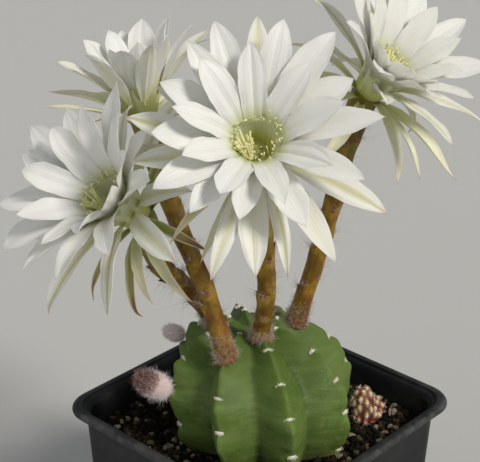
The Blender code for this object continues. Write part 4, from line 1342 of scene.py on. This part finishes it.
def makeTube(name, flower):
    draw = np.random.default_rng(len(name) * 5 + flower["rib"])
    frames = tubeFrames(flower)
    rings = tube["rings"]
    rod = makeRod("tube" + name.title(), tube["sides"], rings)
    local = pointsOf(rod)
    step = np.round(local[:, 2] * rings).astype(int)
    here, _, side, other = frames[step].transpose(1, 0, 2)
    angle = np.arctan2(local[:, 1], local[:, 0])
    radius = np.array([tubeRadius(s) for s in np.linspace(0, 1, rings + 1)])[step]
    shares = np.linspace(0.15, 0.87, tube["scales"])
    places = [(share, goldenAngle * n / 2 + flower["rib"]) for n, share in enumerate(shares)]
    swelling, scaleFoot = np.zeros(len(local)), np.zeros(len(local))
    for share, turn in places:
        rise = local[:, 2] - share
        beside = np.exp(-((((angle - turn + np.pi) % (2 * np.pi) - np.pi) / 0.6) ** 2))
        swell = np.exp(-((rise / np.where(rise < 0, 0.036, 0.012)) ** 2)) * beside
        swelling = np.maximum(swelling, swell)
        scaleFoot = np.maximum(scaleFoot, np.exp(-(((rise - 0.004) / 0.012) ** 2)) * beside)
    ridges = 1 + 0.02 * np.cos(9 * angle + 5 * local[:, 2]) + 0.015 * np.sin(40 * local[:, 2] + 2 * angle)
    radius = radius * ridges + tube["swelling"] * swelling
    points = here + (side * np.cos(angle)[:, None] + other * np.sin(angle)[:, None]) * radius[:, None]
    giveUv(rod, 1.0)
    giveValues(rod, swelling=swelling, scaleFoot=scaleFoot)
    setPoints(rod, points)
    kept(rod, looks["tube"], ["tube_" + name])
    strip = makeStrip("scaleStrip", 4, 8)
    hair = makeRod("hairRod", 3, 4)
    scales, hairs = [], []
    for share, turn in places:
        root, out, up = ringSpot(frames, share, turn)
        across = np.cross(up, out)
        length, width = (3.0 + 5.6 * share**1.8) * mm * draw.uniform(0.85, 1.15), (1.8 + 0.9 * share) * mm
        start = root - out * 0.05 * mm - up * 0.6 * mm
        scales.append(scalePoints(strip, start, out, up, length, width, draw.uniform(0.06, 0.26)))
        for _ in range(tube["hairsAScale"]):
            spread = draw.normal(0, 0.8)
            start = root + across * spread * mm + up * draw.uniform(0, 1.2) * mm
            way = out * draw.uniform(0.5, 1.1) + up * draw.uniform(0.1, 1.2)
            way = unit(way + across * (spread * 0.5 + draw.normal(0, 0.2)))
            sag = draw.normal(0, 0.35, 3) - (0, 0, 0.10)
            hairs.append((start, way, sag, draw.uniform(*tube["hairLength"]) * mm, draw.uniform(0.0, 0.8)))
    scales = copied("scales" + name.title(), strip, scales, draw.random(len(scales)))
    kept(scales, looks["scale"])
    hairs = grown("hairs" + name.title(), hair, hairs, tube["hairRadius"], wave=0.11)
    kept(hairs, looks["hair"])
    makeCollar(name, flower, frames, hair, draw)
    dropped(strip, hair)


def makeCollar(name, flower, frames, hair, draw):
    # the dense wool round the foot of a tube, from where the tube leaves the rib
    here, out, _, _ = (np.array(v) for v in crestFrame(flower["rib"], flower["latitude"]))
    start = np.argmax((frames[:, 0] - here) @ out > -1.5 * mm) / (len(frames) - 1)
    wool = []
    for number in range(tube["collarHairs"]):
        share = start + tube["collarReach"] * draw.random() ** 1.2
        root, out, up = ringSpot(frames, share, goldenAngle * number)
        way = unit(out * draw.uniform(0.6, 1.1) + up * draw.uniform(-0.6, 0.8) + draw.normal(0, 0.4, 3))
        sag, length = draw.normal(0, 0.5, 3), draw.uniform(*tube["collarLength"]) * mm
        wool.append((root - out * 0.4 * mm, way, sag, length))
    tones = draw.random(len(wool))
    collar = grown("collar" + name.title(), hair, wool, tube["collarRadius"], tones, wave=0.1)
    kept(collar, looks["collarWool"])


# ---- areoles

areole = {
    "wool": 90,
    "woolRadius": 0.13 * mm,
    "woolLength": (0.6, 1.15),  # mm
    "spines": 3,
    "spineLength": (1.2, 2.4),  # mm
    "spineRadius": 0.10 * mm,
    "width": 1.9 * mm,  # half the pad's width
    "seed": 21,
}


def areolePlaces():
    # the ribs, latitudes and sizes of the areoles that carry no flower, bud or scar
    taken = [(growth["rib"], growth["latitude"]) for growth in (*flowers.values(), *buds.values())]
    taken.append(body["offsetScar"])
    for rib in range(body["ribs"]):
        for latitude in body["areoleLatitudes"]:
            latitude += body["areoleStagger"] * (rib % 2)
            if not any(rib == r and abs(latitude - other) < body["areoleStagger"] for r, other in taken):
                yield rib, latitude, 1.0
        if rib != flowers["front"]["rib"]:
            yield rib, *body["crownAreole"]


def makeAreoles():
    draw = np.random.default_rng(areole["seed"])
    rod, cushion = makeRod("woolRod", 3, 3), makeBall("cushion", 3)
    ball = pointsOf(cushion)
    pads, wool, spines = [], [], []
    for rib, latitude, scale in areolePlaces():
        here, out, along, across = (np.array(v) for v in crestFrame(rib, latitude))
        here = here + out * (float(chinAt(ribAzimuth(rib), np.array(latitude))) - 0.35 * mm)
        width = areole["width"] * scale
        lumps = ball * (1 + draw.normal(0, 0.07, (len(ball), 1))) * (width * 0.95, 0.85 * mm, 0.75 * mm)
        bow = (0.4 * lumps[:, 0] ** 2 / areole["width"])[:, None] * out
        pads.append(here + lumps @ np.stack([across, along, out]) - bow)
        for _ in range(areole["wool"]):
            sideways = np.clip(draw.normal(0, 0.55), -1, 1)
            drop = 0.55 * mm * sideways**2  # the pad lies over the crest
            root = here + across * sideways * width - out * drop + along * draw.normal(0, 0.28) * mm
            way = unit(out + across * sideways * 0.7 + along * draw.normal(0, 0.3))
            sag, length = draw.normal(0, 0.3, 3), draw.uniform(*areole["woolLength"]) * mm
            wool.append((root, way, sag, length * scale))
        for number in range(areole["spines"]):
            fan = (number - (areole["spines"] - 1) / 2) * 0.7 + draw.normal(0, 0.15)
            way = unit(out * draw.uniform(0.5, 0.9) + across * math.sin(fan) - along * math.cos(fan) * 0.7)
            sag, length = draw.normal(0, 0.05, 3), draw.uniform(*areole["spineLength"]) * mm
            spines.append((here, way, sag, length * scale))
    tones = draw.random(len(wool))
    wool = grown("areoleWool", rod, wool, areole["woolRadius"], tones, taper=0.5, wave=0.08)
    kept(wool, looks["woolWhite"])
    kept(copied("areolePads", cushion, pads, draw.random(len(pads))), looks["felt"])
    spines = grown("areoleSpines", rod, spines, areole["spineRadius"], draw.random(len(spines)), taper=0.9)
    kept(spines, looks["spine"])
    dropped(rod, cushion)


# ---- buds

buds = {
    "large": {
        "rib": 7, "latitude": 12, "length": 8.2 * mm, "width": 5.4 * mm, "lean": (-0.4, 0.1, 0.65),
        "scales": 20, "ripeness": 1.0,  # how dark its tip is
        "hairs": 2600, "hairRadius": 0.08 * mm, "hairLength": (1.0, 3.3), "seed": 45,
    },
    "small": {
        "rib": 6, "latitude": 24, "length": 4.9 * mm, "width": 3.6 * mm, "lean": (-0.5, -0.1, 0.1),
        "scales": 0, "ripeness": 0.0,
        "hairs": 1700, "hairRadius": 0.12 * mm, "hairLength": (0.9, 1.8), "seed": 45,
    },
}


def budFinish():
    # white wool at the foot, dark red under thinner hair at the tip
    look = Finish("budSkin", 0.8)
    patch = look.noise(500, 3)
    look.colour(look.ramp(
        look.attribute("tone") + (patch - 0.5) * 0.2, (0.0, (0.86, 0.76, 0.76)),
        (0.42, (0.72, 0.54, 0.52)), (0.60, (0.20, 0.07, 0.055)), (1.0, (0.07, 0.020, 0.015))))
    look.bump(patch, 0.0004)
    return look


def makeBud(name, bud):
    draw = np.random.default_rng(bud["seed"])
    here, out, _, _ = crestFrame(bud["rib"], bud["latitude"])
    way = (out + Vector(bud["lean"])).normalized()
    side = way.orthogonal().normalized()
    other = way.cross(side)
    length, width, lean = bud["length"], bud["width"], way.dot(out)
    reach = math.sqrt((length * lean) ** 2 + width**2 * (1 - lean**2))
    middle = np.array(here + out * (reach + 0.4 * mm))
    side, other, way = (np.array(v) for v in (side, other, way))
    core = makeBall("budCore" + name.title(), 4)
    local = pointsOf(core)
    lumps = 0.93 + 0.05 * np.sin(9 * local[:, 2:3] + 5 * np.arctan2(local[:, 1:2], local[:, 0:1]))
    axes = np.stack([side * width, other * width, way * length])
    setPoints(core, (local * lumps) @ axes + middle)
    giveValues(core, tone=(0.5 + 0.5 * local[:, 2]) * bud["ripeness"])
    kept(core, looks["budSkin"], ["bud_" + name])
    strip, hair = makeStrip("budStrip", 4, 8), makeRod("budHair", 3, 3)
    scales, hairs = [], []
    for number in range(bud["scales"]):
        around = swung(side, other, goldenAngle * number)
        height = 0.05 + 0.85 * number / bud["scales"]
        ring = math.sqrt(1 - height**2)
        root = middle + way * height * length + around * (ring * width - 0.5 * mm)
        up = unit(way * (0.5 + ring) - around * (1 - ring) * 1.2)
        outward = unit(around - up * around.dot(up))
        scales.append(scalePoints(strip, root, outward, up, width * 0.78, 2.5 * mm, 0.2))
    if scales:
        scales = copied("budScales" + name.title(), strip, scales, draw.random(len(scales)))
        kept(scales, looks["budScale"])
    for number in range(bud["hairs"]):
        height = 1 - 2 * (number + 0.5) / bud["hairs"]
        around = swung(side, other, goldenAngle * number) * math.sqrt(1 - height**2)
        root = middle + (around * width + way * height * length) * 0.95
        aim = unit(around + way * (height + 0.35) + draw.normal(0, 0.35, 3))
        sag = draw.normal(0, 0.35, 3)
        reach = draw.uniform(*bud["hairLength"]) * mm * (0.6 + 0.4 * abs(height))
        dark = 0.0 if draw.random() < 0.2 else (0.2 + 1.1 * height) * bud["ripeness"]
        hairs.append((root, aim, sag, reach, np.clip(dark + draw.normal(0.05, 0.12), 0, 1)))
    hairs = grown("budHairs" + name.title(), hair, hairs, bud["hairRadius"], wave=0.07)
    kept(hairs, looks["budWool"])
    dropped(strip, hair)


# ---- young offsets on the soil

offsets = {
    # (right, away), half height and half width in mm, how many knobs, and how red
    "balls": [
        ((47.2, 11.8), 10.5, 5.3, 34, 0.0), ((54.3, 19.8), 5.5, 3.6, 16, 0.9),
        ((51.2, 14.6), 4.5, 4.4, 12, 0.6),
    ],
    "sunk": 3.5 * mm,
    "knobHeight": 1.1 * mm,
    "spinesAKnob": 15,
    "spineLength": (1.0, 2.2),  # mm
    "spineRadius": 0.12 * mm,
    "seed": 17,
}


def makeOffsets():
    draw = np.random.default_rng(offsets["seed"])
    rod = makeRod("offsetSpine", 3, 3)
    cores, spines = [], []
    for (right, away), halfHeight, halfWidth, knobs, red in offsets["balls"]:
        ball = makeBall("offsetPups", 5)
        local = pointsOf(ball)
        size = np.array((halfWidth, halfWidth, halfHeight)) * mm
        middle = np.array((right * mm, away * mm, soil["top"] + halfHeight * mm - offsets["sunk"]))
        lift = np.zeros(len(local))
        for number in range(knobs):
            rise = min(1 - 1.6 * (number + 0.5 + draw.normal(0, 0.45)) / knobs, 0.98)
            ring = math.sqrt(1 - rise * rise)
            angle = goldenAngle * number + draw.normal(0, 0.2)
            out = np.array((ring * math.cos(angle), ring * math.sin(angle), rise))
            near = np.clip(local @ out, -1, 1)
            lift = np.maximum(lift, np.exp(-((np.arccos(near) / (1.15 / math.sqrt(knobs))) ** 2)))
            root = middle + out * (size + offsets["knobHeight"] * 0.75 - 0.3 * mm)
            side = unit(np.cross(out, (0.3, 0.2, 0.93)))
            other = np.cross(out, side)
            for spine in range(offsets["spinesAKnob"]):
                fan = 2 * math.pi * spine / offsets["spinesAKnob"] + draw.normal(0, 0.2)
                way = unit(out * draw.uniform(0.25, 0.9) + swung(side, other, fan))
                sag, length = draw.normal(0, 0.08, 3), draw.uniform(*offsets["spineLength"]) * mm
                spines.append((root, way, sag, length, draw.random()))
        setPoints(ball, middle + local * (size + (lift * offsets["knobHeight"])[:, None]))
        giveValues(ball, knob=lift, red=np.clip(red - 0.05 - 1.3 * local[:, 2], 0, 1))
        cores.append(ball)
    kept(joined(*cores), looks["offset"], ["offsets"])
    spines = grown("offsetSpines", rod, spines, offsets["spineRadius"], taper=0.7)
    kept(spines, looks["offsetSpine"])
    dropped(rod)


def offsetFinish():
    look = Finish("offsetSkin", 0.55)
    knob = look.attribute("knob")
    patch = look.noise(420, 4)
    look.colour(look.ramp(
        knob + (patch - 0.5) * 0.3, (0.0, (0.120, 0.032, 0.020)), (0.30, (0.27, 0.120, 0.066)),
        (0.60, (0.62, 0.45, 0.28)), (1.0, (0.88, 0.76, 0.56))))
    redSkin = look.ramp(
        knob + (patch - 0.5) * 0.3, (0.0, (0.080, 0.009, 0.007)), (0.45, (0.24, 0.030, 0.022)),
        (0.75, (0.40, 0.11, 0.075)), (1.0, (0.60, 0.33, 0.23)))
    look.cover(look.attribute("red"), redSkin)
    look.bump(patch, 0.0005)
    return look


def layFloor():
    clearSelection()
    bpy.ops.mesh.primitive_plane_add(size=studio["floorSize"], location=(0, 0, -studio["floorDrop"]))
    floor = newest("floor")
    look = Finish("floorPaper", 0.9)
    look.colour(studio["floorColour"])
    look.cover(look.noise(3, 2) * 0.06, studio["floorShade"])
    floor.data.materials.append(look.material)


# ---- everything in its order

print("camera and light")
setStudio()
looks = {
    "petal": petalFinish(),
    "outerPetal": outerPetalFinish(),
    "sepal": sepalFinish(),
    "funnel": funnelFinish(),
    "throat": throatFinish(),
    "filament": plainFinish("filament", stamens["filamentColour"], (0.50, 0.56, 0.20), 0.5, 700, 0.0001),
    "anther": plainFinish("anther", stamens["antherColour"], (0.74, 0.62, 0.24), 0.8, 2500, 0.0002),
    "stigma": plainFinish("stigma", stamens["stigmaColour"], (0.70, 0.70, 0.30), 0.6, 1800, 0.0002),
    "tube": tubeFinish(),
    "scale": scaleFinish("scaleSkin", (0.13, 0.036, 0.012), (0.22, 0.060, 0.028), (0.38, 0.19, 0.10)),
    "hair": hairFinish("tubeHair", (0.62, 0.54, 0.46), (0.22, 0.13, 0.09)),
    "collarWool": hairFinish("collarWool", (0.76, 0.67, 0.58), (0.34, 0.19, 0.11)),
    "woolWhite": hairFinish("areoleWool", (0.93, 0.92, 0.84), (0.74, 0.70, 0.55)),
    "felt": plainFinish("areoleFelt", (0.90, 0.88, 0.78), (0.70, 0.65, 0.50), 0.85, 1500, 0.0004),
    "spine": hairFinish("areoleSpine", (0.52, 0.42, 0.26), (0.12, 0.07, 0.04), 0.45),
    "budWool": hairFinish("budWool", (0.98, 0.90, 0.90), (0.20, 0.085, 0.070)),
    "budSkin": budFinish(),
    "budScale": scaleFinish("budScaleSkin", (0.06, 0.014, 0.010), (0.15, 0.040, 0.026), (0.27, 0.13, 0.10)),
    "offset": offsetFinish(),
    "offsetSpine": hairFinish("offsetSpine", (0.95, 0.88, 0.72), (0.55, 0.34, 0.20), 0.5),
}
print("pot and soil")
makePot()
makeSoil()
print("cactus")
makeBody()
makeAreoles()
print("flowers")
for flowerName, flower in flowers.items():
    place = plantTurn @ flowerMatrix(flower)
    makeFunnel(flowerName, flower, place)
    makePetals(flowerName, flower, place)
    makeStamens(flowerName, flower, place)
    makeTube(flowerName, flower)
print("buds and offsets")
for budName, bud in buds.items():
    makeBud(budName, bud)
makeOffsets()
print("floor")
layFloor()
